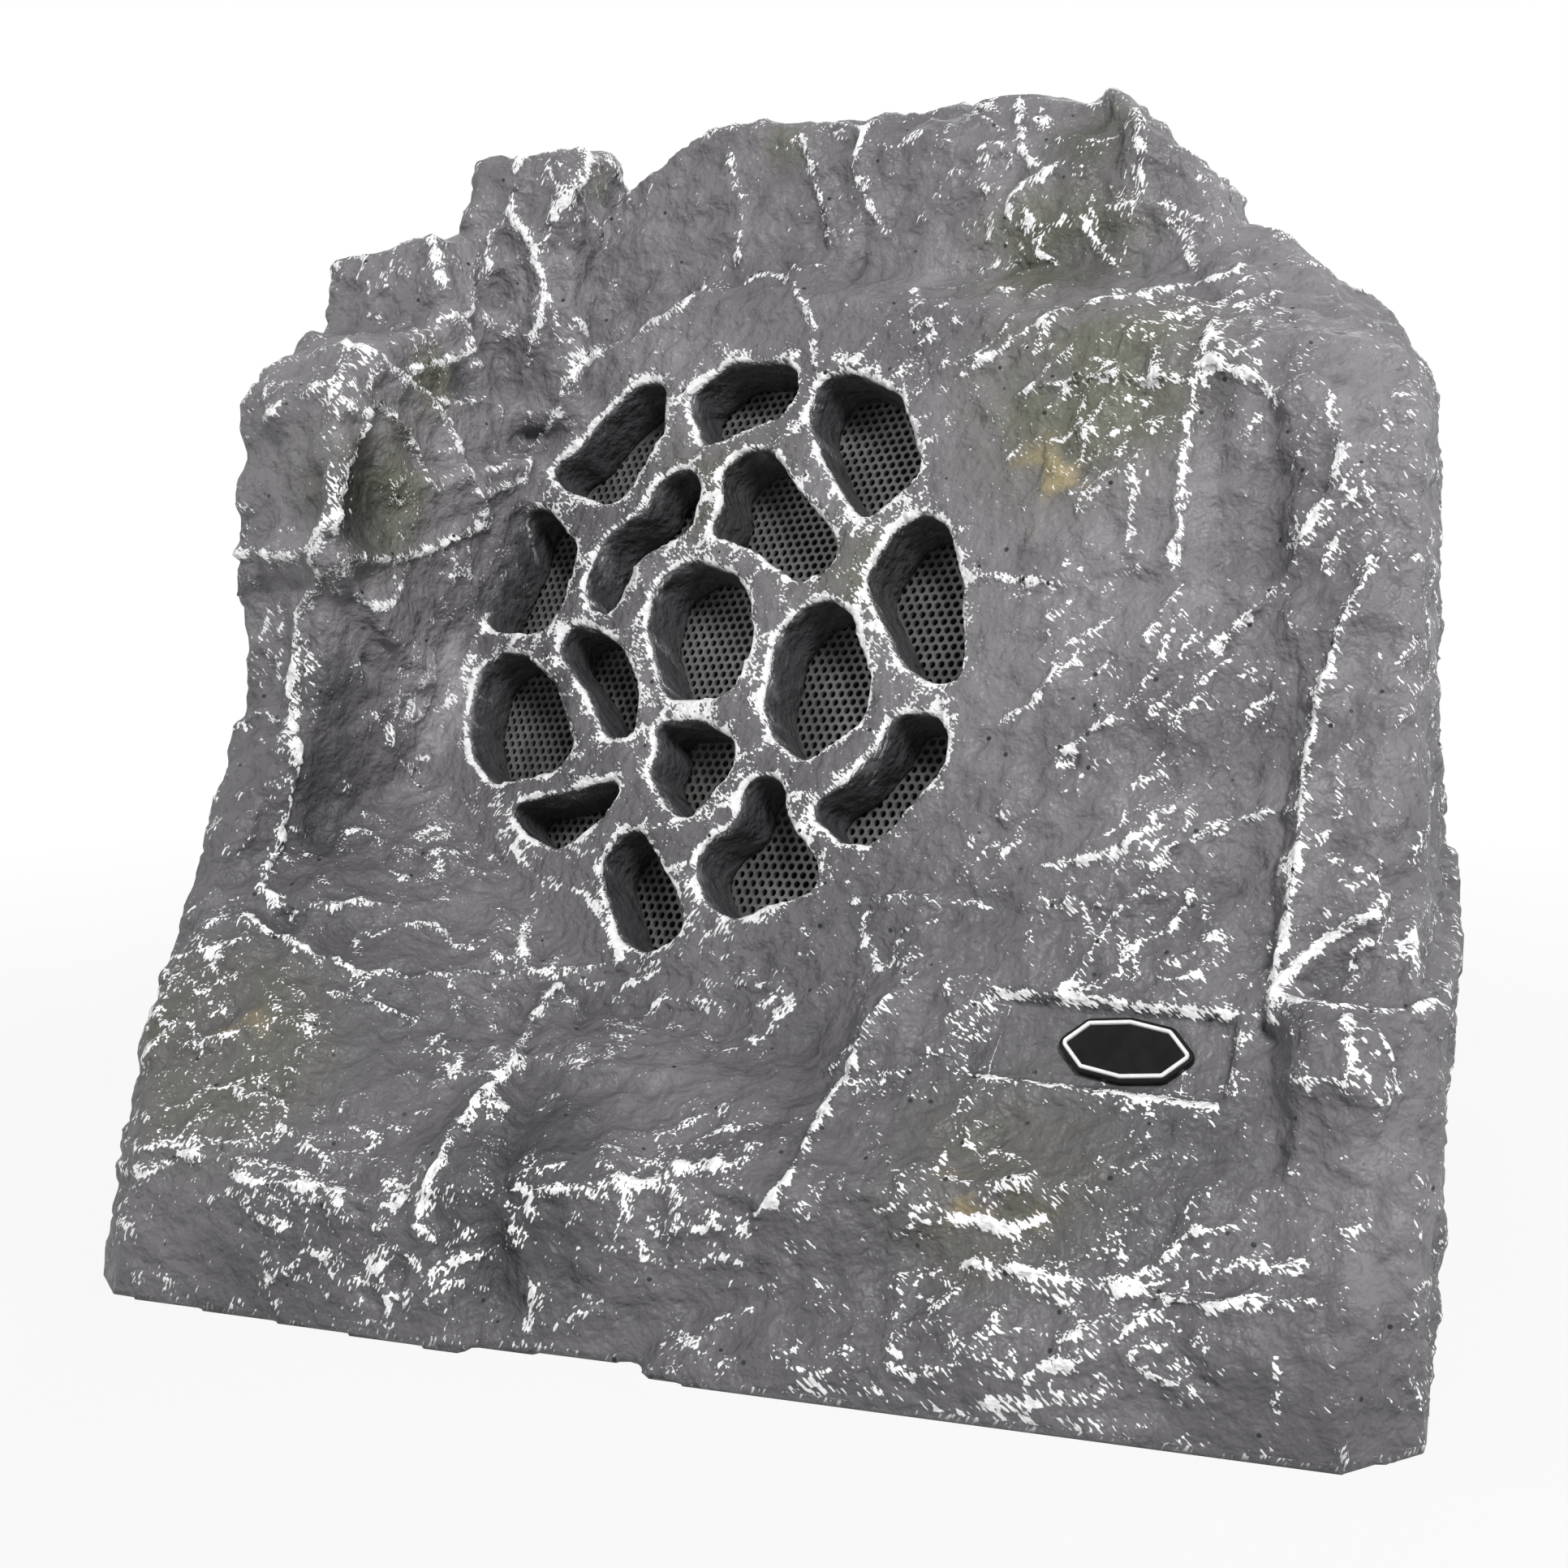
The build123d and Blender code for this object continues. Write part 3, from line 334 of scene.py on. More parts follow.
def rise(values, low, high):
    """Smooth step from 0 at low to 1 at high."""
    share = np.clip((values - low) / (high - low), 0, 1)
    return share * share * (3 - 2 * share)


def facing():
    """Unit normal at each point of the net."""
    corners = points[triangles]
    across = np.cross(corners[:, 1] - corners[:, 0], corners[:, 2] - corners[:, 0])
    normal = np.zeros_like(points)
    for i in range(3):
        for axis in range(3):
            normal[:, axis] += np.bincount(triangles[:, i], across[:, axis], len(points))
    return normal / np.maximum(np.linalg.norm(normal, axis=1, keepdims=True), 1e-12)


EDGE_ROUNDS = 10
EDGE_PULL = 0.7
PANEL_NEAR = 0.006
PANEL_HOLD = 0.85
# Metres from the socket's axis, from the field and from the floor over which the skin becomes loose
SOCKET_EASE = (0.010, 0.016)
FIELD_EASE = (0.002, 0.006)
FOOT_EASE = (0.002, 0.010)
loose = outer.astype(float)
on_panel = (seat_radius < OPENINGS_RADIUS) & (np.abs(seat_height - PANEL_THICKNESS) < PANEL_NEAR)
loose *= 1 - PANEL_HOLD * on_panel
for distance, ease in ((socket_radius, SOCKET_EASE), (field_away, FIELD_EASE), (points[:, 2], FOOT_EASE)):
    loose *= rise(distance, *ease)
loose = np.minimum(loose, spread(loose, 2))
for _ in range(EDGE_ROUNDS):
    points += (points[beside].mean(1) - points) * (EDGE_PULL * loose)[:, None]
print("edges rounded over about", round(SKIN_STEP * sqrt(EDGE_ROUNDS) * 1000, 1), "mm")

# %% [markdown]
# ## Ridges and cracks
#
# The lines that make this rock this rock are placed one by one. Each is a row of places in the picture,
# with a height and with the distance over which it falls away on its left and on its right, as one walks
# along it. A sharp side and a gentle side make a ledge, two sharp sides make a crest, and a negative height
# makes a crack. Rounder hollows have one place each. A ray from the camera through each place finds where
# on the rock it lies.

# %% Ridges and cracks
# Height, fall on the left and fall on the right in millimetres, then picture columns and rows
RIDGES = {
    "buttress_edge": (2.5, 3, 6, [(645, 200), (640, 230), (632, 265)]),
    "buttress_left_fork": (1.5, 6, 3, [(632, 265), (612, 285), (603, 300), (600, 335)]),
    "buttress_right_fork": (3, 2.5, 8, [(632, 265), (655, 290), (668, 325), (676, 360), (672, 395),
        (655, 440)]),
    "second_edge": (3, 3, 5, [(725, 185), (712, 205), (700, 235), (685, 270)]),
    "block_ridge": (1.5, 3, 5, [(535, 302), (540, 330), (545, 360)]),
    "block_edge": (1.5, 3, 6, [(582, 330), (575, 360), (572, 385), (548, 394)]),
    "block_hook": (1.5, 3, 3, [(548, 394), (575, 402), (582, 430), (560, 440), (510, 455)]),
    "pocket_lip": (1.5, 2, 5, [(530, 490), (555, 497), (590, 492)]),
    "shoulder_rim": (2.5, 1.5, 8, [(390, 450), (435, 435), (465, 445), (525, 485), (550, 530),
        (585, 600), (598, 630)]),
    "shoulder_fold": (1.2, 5, 5, [(335, 525), (360, 505), (405, 478), (415, 490), (430, 508), (445, 510)]),
    "pocket_rim": (1.5, 6, 1.5, [(445, 510), (455, 500), (470, 500), (505, 540), (520, 565), (525, 590)]),
    "pocket_edge": (2.5, 1.5, 8, [(445, 510), (438, 540), (425, 570), (420, 600), (412, 640), (390, 690)]),
    "shoulder_ledge_left": (2, 8, 1.2, [(288, 686), (330, 685), (360, 690), (385, 680), (400, 665)]),
    "shoulder_ledge": (1.5, 5, 1.5, [(400, 695), (430, 690), (460, 692), (500, 688), (540, 675),
        (595, 650)]),
    "cup": (1.2, 1.5, 3, [(410, 705), (425, 730), (445, 745), (475, 748), (490, 735), (500, 705)]),
    "scoop_ridge": (3, 1.5, 7, [(400, 695), (395, 725), (375, 760), (365, 840), (368, 870), (358, 940),
        (325, 1100)]),
    "notch_ledge": (1.5, 5, 1.2, [(302, 895), (330, 880), (345, 890), (362, 892)]),
    "scoop_foot": (1.5, 5, 1.5, [(325, 1100), (340, 1115), (375, 1125), (410, 1125), (440, 1115),
        (465, 1120)]),
    "foot_ridge": (3, 1.5, 9, [(310, 1140), (330, 1155), (365, 1172), (430, 1200), (450, 1210),
        (480, 1208)]),
    "foot_ridge_right": (1.5, 2, 5, [(510, 1210), (550, 1206), (600, 1200), (640, 1197)]),
    "foot_chip": (1, 2, 3, [(470, 1150), (500, 1145), (540, 1135), (550, 1150), (560, 1165), (590, 1160)]),
    "slope_chip": (1, 2, 4, [(415, 1225), (440, 1230), (470, 1240), (500, 1255)]),
    "trough_left": (2.5, 2, 7, [(690, 1220), (645, 1265), (635, 1300), (600, 1360), (560, 1410),
        (525, 1490)]),
    "trough_floor": (-5, 14, 8, [(640, 1260), (650, 1330), (630, 1400), (615, 1480), (605, 1560),
        (600, 1640)]),
    "opening_corner": (0.8, 2, 3, [(635, 1040), (645, 1065), (665, 1085), (700, 1090), (730, 1110),
        (765, 1175)]),
    "under_opening": (1, 3, 2, [(655, 1130), (642, 1155), (645, 1195), (690, 1200), (720, 1195),
        (760, 1185)]),
    "bulge_edge": (2, 7, 2, [(1120, 1210), (1075, 1265), (1040, 1330), (1005, 1390), (970, 1455),
        (930, 1495)]),
    "skirt_left_top": (1, 2, 4, [(180, 1442), (220, 1422), (260, 1412), (300, 1405)]),
    "skirt_band": (1.5, 5, 3, [(300, 1450), (330, 1460), (380, 1460), (430, 1475), (480, 1485),
        (520, 1475)]),
    "skirt_middle": (1.5, 4, 3, [(640, 1465), (720, 1470), (780, 1460), (860, 1430), (900, 1440),
        (930, 1420)]),
    "bulge_crest": (1.2, 6, 3, [(1190, 1560), (1320, 1580), (1400, 1590), (1440, 1605), (1500, 1615),
        (1620, 1605)]),
    "bulge_chip_left": (0.8, 3, 3, [(1410, 1568), (1440, 1545), (1480, 1520)]),
    "bulge_chip_right": (0.8, 3, 3, [(1480, 1572), (1530, 1560), (1590, 1560)]),
    "ochre_rim": (0.8, 3, 3, [(1130, 1490), (1160, 1485), (1190, 1500), (1240, 1515), (1290, 1500)]),
    "right_ear": (2.5, 1.5, 7, [(1570, 1255), (1575, 1220), (1590, 1190), (1620, 1165), (1650, 1145),
        (1680, 1130)]),
    "right_ledge": (1.5, 2, 5, [(1590, 1235), (1640, 1250), (1690, 1250), (1740, 1245), (1770, 1236),
        (1788, 1250)]),
    "right_block_left": (1.2, 4, 2, [(1662, 1260), (1666, 1300), (1660, 1350)]),
    "right_block_right": (1, 3, 3, [(1705, 1290), (1715, 1320), (1720, 1345)]),
    "column_edge_upper": (1.5, 6, 2, [(1640, 500), (1655, 570), (1640, 600), (1620, 640), (1600, 665),
        (1590, 690)]),
    "column_fold": (1.2, 1.5, 5, [(1590, 690), (1560, 740), (1530, 765), (1500, 800)]),
    "column_edge": (2.5, 8, 2, [(1690, 700), (1650, 780), (1620, 860), (1605, 950), (1595, 1090),
        (1570, 1200)]),
    "column_groove": (-4, 8, 12, [(1590, 820), (1580, 900), (1570, 1000), (1560, 1100), (1555, 1180)]),
    "rib_edge": (2, 2.5, 6, [(1478, 462), (1470, 500), (1462, 560), (1460, 610), (1455, 660), (1448, 690)]),
    "smooth_groove": (-3, 7, 8, [(1500, 480), (1505, 560), (1500, 640), (1505, 720), (1510, 790)]),
    "column_ledge": (1.8, 8, 1.5, [(1280, 485), (1330, 475), (1450, 470), (1500, 455), (1550, 475),
        (1585, 500)]),
    "short_fold": (1, 2, 4, [(1495, 400), (1488, 430), (1490, 455)]),
    "slope_crest": (1.2, 5, 4, [(1150, 490), (1245, 432), (1300, 395), (1390, 372), (1440, 365),
        (1530, 340)]),
    "slope_crest_right": (1, 3, 3, [(1440, 395), (1480, 385), (1520, 365), (1550, 350)]),
    "panel_top": (1.2, 3, 5, [(700, 440), (780, 425), (800, 405), (895, 365), (940, 345), (1010, 335)]),
    "panel_line": (0.8, 3, 3, [(970, 345), (985, 365), (1000, 395), (1003, 430), (1005, 455)]),
    "panel_left": (1.5, 4, 2, [(740, 435), (710, 450), (690, 500), (655, 560), (645, 590), (605, 605)]),
    "crown_edge": (2, 6, 2, [(990, 175), (1000, 205), (1010, 240), (1020, 290)]),
    "crown_rib": (1.5, 2, 5, [(1065, 160), (1055, 190), (1055, 215), (1075, 260), (1095, 285)]),
    "crown_right_rib": (1.5, 3, 4, [(1255, 120), (1260, 150), (1258, 175), (1270, 200)]),
    "crown_arc": (1.5, 3, 3, [(1300, 205), (1270, 225), (1250, 245), (1245, 262)]),
    "crown_hook": (1, 3, 3, [(1275, 275), (1280, 310), (1300, 330)]),
    "top_block_edge": (1.5, 6, 1.5, [(1402, 150), (1403, 200), (1405, 255)]),
    "top_block_foot": (1, 3, 2, [(1370, 255), (1420, 252), (1450, 258), (1475, 270)]),
    "ring_left": (0.8, 3, 3, [(1340, 275), (1355, 300), (1370, 330)]),
    "ring_right": (0.8, 3, 3, [(1440, 275), (1460, 290), (1470, 320), (1475, 335)]),
    "crown_left_rib": (0.8, 4, 4, [(900, 195), (915, 240), (920, 280), (910, 320)]),
    "crack": (-1.5, 1.2, 1.5, [(1195, 722), (1230, 723), (1280, 729), (1320, 729), (1340, 745),
        (1350, 770)]),
    "crack_lip": (0.8, 5, 1, [(1195, 712), (1240, 714), (1300, 721)]),
    "middle_ridge": (0.9, 4, 3, [(1360, 770), (1310, 800), (1300, 830), (1280, 860), (1230, 890)]),
    "middle_fleck": (0.8, 3, 3, [(1450, 730), (1430, 760), (1415, 790)]),
    "upper_fleck": (0.8, 3, 3, [(1400, 590), (1398, 620), (1390, 660)]),
    "pit_ridge": (1, 3, 2, [(1310, 935), (1330, 915), (1345, 900), (1370, 890)]),
    "wave_left": (0.8, 4, 2, [(1290, 1065), (1340, 1060), (1380, 1045), (1420, 1020)]),
    "wave_right": (1.2, 5, 2, [(1425, 1070), (1440, 1045), (1480, 1030), (1520, 1015), (1560, 1000),
        (1590, 1000)]),
    "low_crack": (-1.2, 1.2, 1.2, [(1350, 1108), (1400, 1097), (1420, 1085)]),
    "low_crack_right": (-1, 1.2, 1.2, [(1360, 1110), (1420, 1112), (1470, 1120)]),
    "under_openings": (1.2, 2, 4, [(1000, 1130), (1055, 1105), (1120, 1105), (1150, 1108), (1200, 1112),
        (1230, 1120)]),
    "under_openings_drop": (0.8, 3, 3, [(1060, 1140), (1070, 1170), (1080, 1190)]),
    "drip_right": (1.2, 1.5, 1.8, [(1576, 1685), (1575, 1715), (1570, 1742)]),
    "drip_left": (1, 1.5, 1.5, [(482, 1600), (480, 1625), (478, 1648)]),
    "drip_middle": (1, 1.5, 1.5, [(656, 1585), (655, 1610), (652, 1636)]),
    "under_openings_rise": (0.8, 3, 3, [(1100, 1170), (1120, 1150), (1150, 1135)]),
}
# Picture place, radius and depth in millimetres of the rounder hollows
HOLLOWS = [((452, 610), 20, 5), ((455, 724), 12, 3.5), ((608, 362), 10, 3.5), ((628, 455), 14, 4),
           ((570, 475), 9, 2.5), ((1645, 1190), 14, 4), ((655, 1330), 18, 3), ((1598, 905), 12, 2.5),
           ((1345, 150), 9, 2.5), ((1420, 920), 16, 2.5), ((1250, 200), 10, 2), ((560, 1150), 16, 3.5),
           ((430, 1158), 14, 3.5), ((350, 1128), 9, 3), ((1318, 938), 3, 2.5), ((450, 820), 3.5, 2.5)]
HOLLOW_FLAT = 0.25
RIDGE_SCALE = 1.4
FALL_POWER = 1.5
LINE_STEP = 9
LINE_REACH = 0.004
# Millimetres from a line within which points are drawn onto it
LINE_PULL = 600 * SKIN_STEP
print("lines:", len(RIDGES), "hollows:", len(HOLLOWS))

# %% [markdown]
# ## Raising the ridges
#
# Each line is laid over the rock in small steps. The points beside it are lifted or sunk by the line's
# profile, and where lines meet the higher one counts. The points closest to a ridge are drawn onto it, so
# that it stays sharp, and all points near it store their distance for the paint.

# %% Raising the ridges
# Stored in place of a distance, in millimetres, where no line is near
FAR = 99.0
normals = facing()
bare_rock = BVHTree.FromPolygons(points.tolist(), triangles.tolist())


def on_rock(column, row):
    """Place on the rock that shows at a pixel, or nothing beside the rock."""
    return bare_rock.ray_cast(CAMERA_PLACE, picture_ray(column, row))[0]


def line_on_rock(corners):
    """Dense row of places on the rock along a line in the picture."""
    places = []
    for start, end in zip(corners[:-1], corners[1:]):
        across, down = end[0] - start[0], end[1] - start[1]
        steps = max(1, round(np.hypot(across, down) / LINE_STEP))
        for share in np.arange(steps) / steps:
            places.append(on_rock(start[0] + across * share, start[1] + down * share))
    places.append(on_rock(*corners[-1]))
    return np.array([place for place in places if place is not None])


def way_from(start, end, places):
    """Way to each place from the nearest spot between two ends, and the way from end to end."""
    along = end - start
    offset = places - start
    share = np.clip(offset @ along / (along @ along + 1e-12), 0, 1)
    return offset - share[:, None] * along, along


def round_spot(places, spot, radius, full=0.3, end=1.0):
    """Share from 1 round a place in the picture to 0 at a radius in millimetres."""
    middle = on_rock(*spot)
    if middle is None:
        return np.zeros(len(places))
    distance = np.linalg.norm(places - np.array(middle), axis=1) * 1000
    return 1 - rise(distance, full * radius, end * radius)


def beside_line(line, reach):
    """Points within reach of a line, the way from the line to each, and on which side it lies."""
    low, high = line.min(0) - reach, line.max(0) + reach
    near = np.flatnonzero(outer & ((points > low) & (points < high)).all(1))
    way = np.full((len(near), 3), np.inf)
    side = np.zeros(len(near))
    for start, end in zip(line[:-1], line[1:]):
        offset, along = way_from(start, end, points[near])
        closer = np.linalg.norm(offset, axis=1) < np.linalg.norm(way, axis=1)
        way[closer] = offset[closer]
        side[closer] = np.sign((np.cross(normals[near][closer], along) * offset[closer]).sum(1))
    return near, way, side


lift = np.zeros(len(points))
sink = np.zeros(len(points))
line_side = np.full(len(points), FAR)
line_away = np.full(len(points), FAR)
for height, left, right, corners in RIDGES.values():
    line = line_on_rock(corners)
    if len(line) < 2:
        continue
    near, way, side = beside_line(line, max(left / 1000, right / 1000, LINE_REACH))
    away = np.linalg.norm(way, axis=1) * 1000
    profile = height / 1000 * np.clip(1 - away / np.where(side > 0, left, right), 0, 1) ** FALL_POWER
    if height < 0:
        sink[near] = np.minimum(sink[near], profile)
        continue
    lift[near] = np.maximum(lift[near], RIDGE_SCALE * profile)
    closer = away < line_away[near]
    line_away[near[closer]] = away[closer]
    line_side[near[closer]] = (away * side)[closer]
    on_line = away < LINE_PULL
    points[near[on_line]] -= way[on_line]
    line_side[near[on_line]] = 0
    line_away[near[on_line]] = 0
for spot, radius, depth in HOLLOWS:
    sink -= depth / 1000 * round_spot(points, spot, radius, HOLLOW_FLAT)
print("highest ridge:", round(lift.max() * 1000, 1), "mm")

# %% [markdown]
# ## Rough stone
#
# Between the ridges the stone is uneven in several sizes at once: slow swells, lumps the size of a thumb
# and small chips. Smooth random heights of different sizes are added up for that. On top come the short
# broken crests that the brush catches later. They follow the grain of the stone: slanting on the right,
# upright on the crown and nearly level low down. A crest runs wherever a stretched random height passes
# through zero, so the same values that lift the stone there also tell the paint where the crest is. Crests
# and paint are patchy, and some places in the picture get more or less of them.

# %% Rough stone
# Size and height of each layer in millimetres, and whether it is folded, which gives it sharp creases
LAYERS = [(60, 1.8, False), (26, 1.3, False), (19, 1.3, True), (11, 1.1, True), (6, 0.9, False),
          (4, 0.6, True)]
# Where the brush worked more or less than elsewhere: picture place, radius in millimetres and amount
BRUSHED = [((1690, 640), 24, 0.7), ((1640, 1140), 24, 0.6), ((1250, 1640), 45, 0.8), ((1480, 1540), 30, 0.7),
           ((1500, 400), 28, 0.6), ((400, 1490), 36, 1.0), ((270, 1350), 26, 0.8), ((560, 1040), 26, 0.8),
           ((330, 1450), 26, 0.6), ((600, 1490), 20, 0.7), ((860, 1450), 30, 0.6), ((520, 900), 22, 0.4),
           ((240, 1200), 20, 0.4), ((1350, 560), 26, 0.6), ((1150, 430), 24, 0.4), ((946, 260), 22, -0.6),
           ((1400, 1160), 30, 0.6), ((340, 800), 18, 0.4), ((800, 1480), 30, 0.4), ((355, 590), 24, -0.7),
           ((1510, 620), 22, -0.8), ((405, 920), 16, -0.4), ((820, 300), 24, -0.5), ((1150, 250), 22, -0.4),
           ((1560, 1000), 20, -0.5), ((1620, 1690), 34, -0.5), ((1300, 1370), 20, -0.4),
           ((800, 1330), 26, -0.5)]
# Size in millimetres, share and seed of the random heights that make crests and paint patchy
PATCHES = [(20, 0.5, 60), (7, 0.7, 61)]
# Size and reach in metres, and the seeds, of what makes the crests wind
SWIRLS = [(0.03, 0.006, (41, 42, 43)), (0.009, 0.0022, (44, 45, 46))]
CREST_HEIGHT = 0.0010
CREST_WIDTH = 3.0
CREST_POWER = 1.4
CREST_LIMIT = 8.0
CREST_PATCHES = (-0.5, 0.4)
PANEL_ROUGH = 0.3
FIELD_ROUGH = (0.0005, 0.005)
DEEPEST = -0.0052


def random_heights(places, size, seed):
    """Smooth random heights from -1 to 1, with lumps of a given size."""
    table = np.random.default_rng(seed).uniform(-1, 1, 4096)
    cell = np.floor(places / size).astype(np.int64)
    share = places / size - cell
    share = share * share * (3 - 2 * share)
    total = np.zeros(len(places))
    for corner in np.ndindex(2, 2, 2):
        key = (cell + corner) @ np.array([1619, 31337, 6971])
        weight = np.prod(np.where(corner, share, 1 - share), axis=1)
        total += weight * table[key % len(table)]
    return total


def mixed_heights(places, parts):
    """Sum of random heights, each with a size in millimetres, a share and a seed."""
    return sum(share * random_heights(places, size / 1000, seed) for size, share, seed in parts)


def along_grain(places, angle, stretch):
    """Places squeezed along a slanting direction, so that what is random there becomes long."""
    turn = radians(angle)
    along = places[:, 0] * cos(turn) + places[:, 2] * sin(turn)
    across = places[:, 2] * cos(turn) - places[:, 0] * sin(turn)
    return np.column_stack([along / stretch, places[:, 1], across])


def grain_shares(places):
    """How far the slanting, the upright and the level grain rule at each place."""
    high = rise(places[:, 2], 0.24, 0.29)
    low = rise(places[:, 2] + 0.25 * places[:, 0], 0.13, 0.06)
    return np.column_stack([(1 - high) * (1 - low), high, low * (1 - high)])


# Slant in degrees, size in millimetres and stretch of the crests, in the same order
GRAIN = [(54, 6, 2.4), (82, 6.5, 2.6), (12, 6, 2.2)]
skin = points[outer]
swirl = sum(np.column_stack([random_heights(skin, size, seed) for seed in seeds]) * reach
            for size, reach, seeds in SWIRLS)
shares = grain_shares(skin)
crests = np.zeros(len(points))
for i, (angle, size, stretch) in enumerate(GRAIN):
    stretched = along_grain(skin + swirl, angle, stretch)
    crests[outer] += shares[:, i] * random_heights(stretched, size / 1000, 50 + i)
steepest = np.zeros(len(points))
for column in beside.T:
    gap = np.linalg.norm(points[column] - points, axis=1)
    steepest = np.maximum(steepest, np.abs(crests[column] - crests) / np.maximum(gap, SKIN_STEP / 2))
crests = np.clip(crests / np.maximum(steepest, 1e-6) * 1000, -CREST_LIMIT, CREST_LIMIT)[outer]
patchy = mixed_heights(skin, PATCHES)
for spot, radius, amount in BRUSHED:
    patchy += amount * round_spot(skin, spot, radius)

roughness = np.zeros(len(points))
for seed, (size, height, folded) in enumerate(LAYERS):
    heights = random_heights(skin + swirl, size / 1000, seed)
    roughness[outer] += height / 1000 * (2 * np.abs(heights) - 0.5 if folded else heights)
crest_share = np.clip(1 - np.abs(crests) / CREST_WIDTH, 0, 1) ** CREST_POWER
roughness[outer] += CREST_HEIGHT * (crest_share * rise(patchy, *CREST_PATCHES))

rough_share = loose.copy()
rough_share[on_panel] = PANEL_ROUGH
rough_share *= rise(field_away, *FIELD_ROUGH) * outer
raised = np.maximum(lift + sink + roughness, DEEPEST) * spread(rough_share, 1)
points = points + normals * raised[:, None]
points = np.clip(points, np.array(cad_box[0]), np.array(cad_box[1]))
print("roughness from", round(roughness.min() * 1000, 1), "to", round(roughness.max() * 1000, 1), "mm")

# %% [markdown]
# ## Rims of the openings
#
# The brush leaves its brightest white along the rims of the openings. The solid rock tells exactly where
# they run: the free edges of its flat front face. Each point of the net near the panel stores how far it
# lies from such an edge across the front face, less how deep it lies in an opening. The upper and lower
# edge of the recessed field count as rims too.

# %% Rims of the openings
FRONT_FLAT = 0.0001
RIM_NEAR = 0.006
# Middle and half depth of the layer that counts as near the panel
RIM_LAYER = (0.012, 0.0125)
solid_mesh = rock_solid.data
solid_mesh.calc_loop_triangles()
corners = read(solid_mesh.vertices, "co", 3, np.float32).astype(float)
faces = read(solid_mesh.loop_triangles, "vertices", 3, np.int32)
corner_radius, corner_height = about_axis(corners, SEAT_CENTRE, SEAT_AXIS)
front_faces = faces[(np.abs(corner_height - PANEL_THICKNESS) < FRONT_FLAT)[faces].all(1)]
names = np.unique(np.round(corners * 1e6).astype(np.int64), axis=0, return_inverse=True)[1].reshape(-1)
sides = np.concatenate([front_faces[:, [0, 1]], front_faces[:, [1, 2]], front_faces[:, [2, 0]]])
first, uses = np.unique(np.sort(names[sides], axis=1), axis=0, return_index=True, return_counts=True)[1:]
rim_edges = sides[first[uses == 1]]
rim_edges = rim_edges[(corner_radius[rim_edges] < OPENINGS_RADIUS).all(1)]

smooth_radius, smooth_height = about_axis(even_points, SEAT_CENTRE, SEAT_AXIS)
in_layer = np.abs(smooth_height - RIM_LAYER[0]) < RIM_LAYER[1]
by_panel = np.flatnonzero(in_layer & (smooth_radius < OPENINGS_RADIUS + RIM_NEAR))
rim_away = np.full(len(by_panel), np.inf)
flat = even_points[by_panel] + np.outer(PANEL_THICKNESS - smooth_height[by_panel], SEAT_AXIS)
for start, end in zip(corners[rim_edges[:, 0]], corners[rim_edges[:, 1]]):
    rim_away = np.minimum(rim_away, np.linalg.norm(way_from(start, end, flat)[0], axis=1))
rim = np.full(len(points), FAR)
rim[by_panel] = (rim_away - (PANEL_THICKNESS - smooth_height[by_panel])) * 1000
by_field = (np.abs(field_away) < RIM_NEAR) & (field_up > field_across)
rim[by_field] = field_away[by_field] * 1000
print("rims:", len(rim_edges), "edges")

# %% [markdown]
# ## Colours of the casting
#
# The maker sprays the casting grey, dabs on some olive and ochre and then draws a nearly dry brush with white
# over it, which only leaves paint on what stands out. The soft colours change slowly, so they are worked out
# here for each point of the net, with painted shade and painted light in them. What lies back, compared with
# the average of its surroundings, gets painted shade, and so do the walls of the openings, the rock towards
# the bottom, where the light falls off, and the inner edge of the recessed field. Listed patches get painted
# shade in the hollows and painted light where they face the lamp.

# %% Colours of the casting
GREY_DARK = np.array([0.118, 0.113, 0.120])
GREY_LIGHT = np.array([0.196, 0.189, 0.198])
# Dark grey that paints shade into hollows, openings and low down
PAINTED_SHADE_GREY = np.array([0.050, 0.048, 0.052])
OLIVE_GREEN = np.array([0.122, 0.124, 0.096])
OCHRE_YELLOW = np.array([0.33, 0.27, 0.14])
# Patches: picture place and radius in millimetres
OLIVE = [((470, 600), 30), ((530, 470), 16), ((1340, 470), 45), ((1300, 330), 35), ((1360, 170), 18),
         ((270, 1290), 40), ((1230, 1450), 32), ((730, 215), 12), ((970, 175), 10), ((930, 615), 34),
         ((1045, 700), 24)]
OCHRE = [((1295, 590), 15), ((1290, 620), 10), ((1205, 1500), 15), ((1250, 1520), 10), ((285, 1245), 8),
         ((300, 1265), 8)]
# Patches of painted shade in the hollows and painted light where a face turns to the lamp, with the share of
# their brightness that they keep
SHADE_AND_LIGHT_PATCHES = [((650, 1400), 30, 0.6), ((620, 1540), 26, 0.6), ((408, 850), 15, 0.5), ((400, 940), 14, 0.5),
         ((395, 1030), 12, 0.6), ((575, 480), 10, 0.6), ((450, 620), 22, 0.25), ((540, 850), 22, 2.7),
         ((330, 1540), 26, 0.85), ((1595, 930), 10, 0.7), ((540, 960), 18, 1.5), ((1330, 180), 18, 0.62),
         ((1325, 330), 24, 0.6), ((500, 1290), 26, 0.78), ((1400, 1450), 30, 0.7), ((860, 430), 24, 1.15),
         ((1330, 1000), 34, 1.15), ((1740, 1500), 28, 1.3), ((630, 350), 14, 1.3), ((850, 1330), 26, 1.25),
         ((1700, 1050), 24, 0.88)]
PATCH_END = 1.15
# Size in millimetres, share and seed of the random heights that change the grey and break up the patches
CLOUDS = [(48, 0.5, 118), (21, 0.4, 91), (9, 0.25, 79), (4, 0.15, 74)]
BLOTCHES = [(16, 1.0, 80), (6, 0.5, 81)]


def patches(spots):
    """Soft patches round places in the picture."""
    amount = np.zeros(len(points))
    for spot, radius in spots:
        amount = np.maximum(amount, round_spot(points, spot, radius, end=PATCH_END))
    return amount


def blended(colour, other, share):
    """Mix of colours for all points."""
    return colour + (other - colour) * share[:, None]


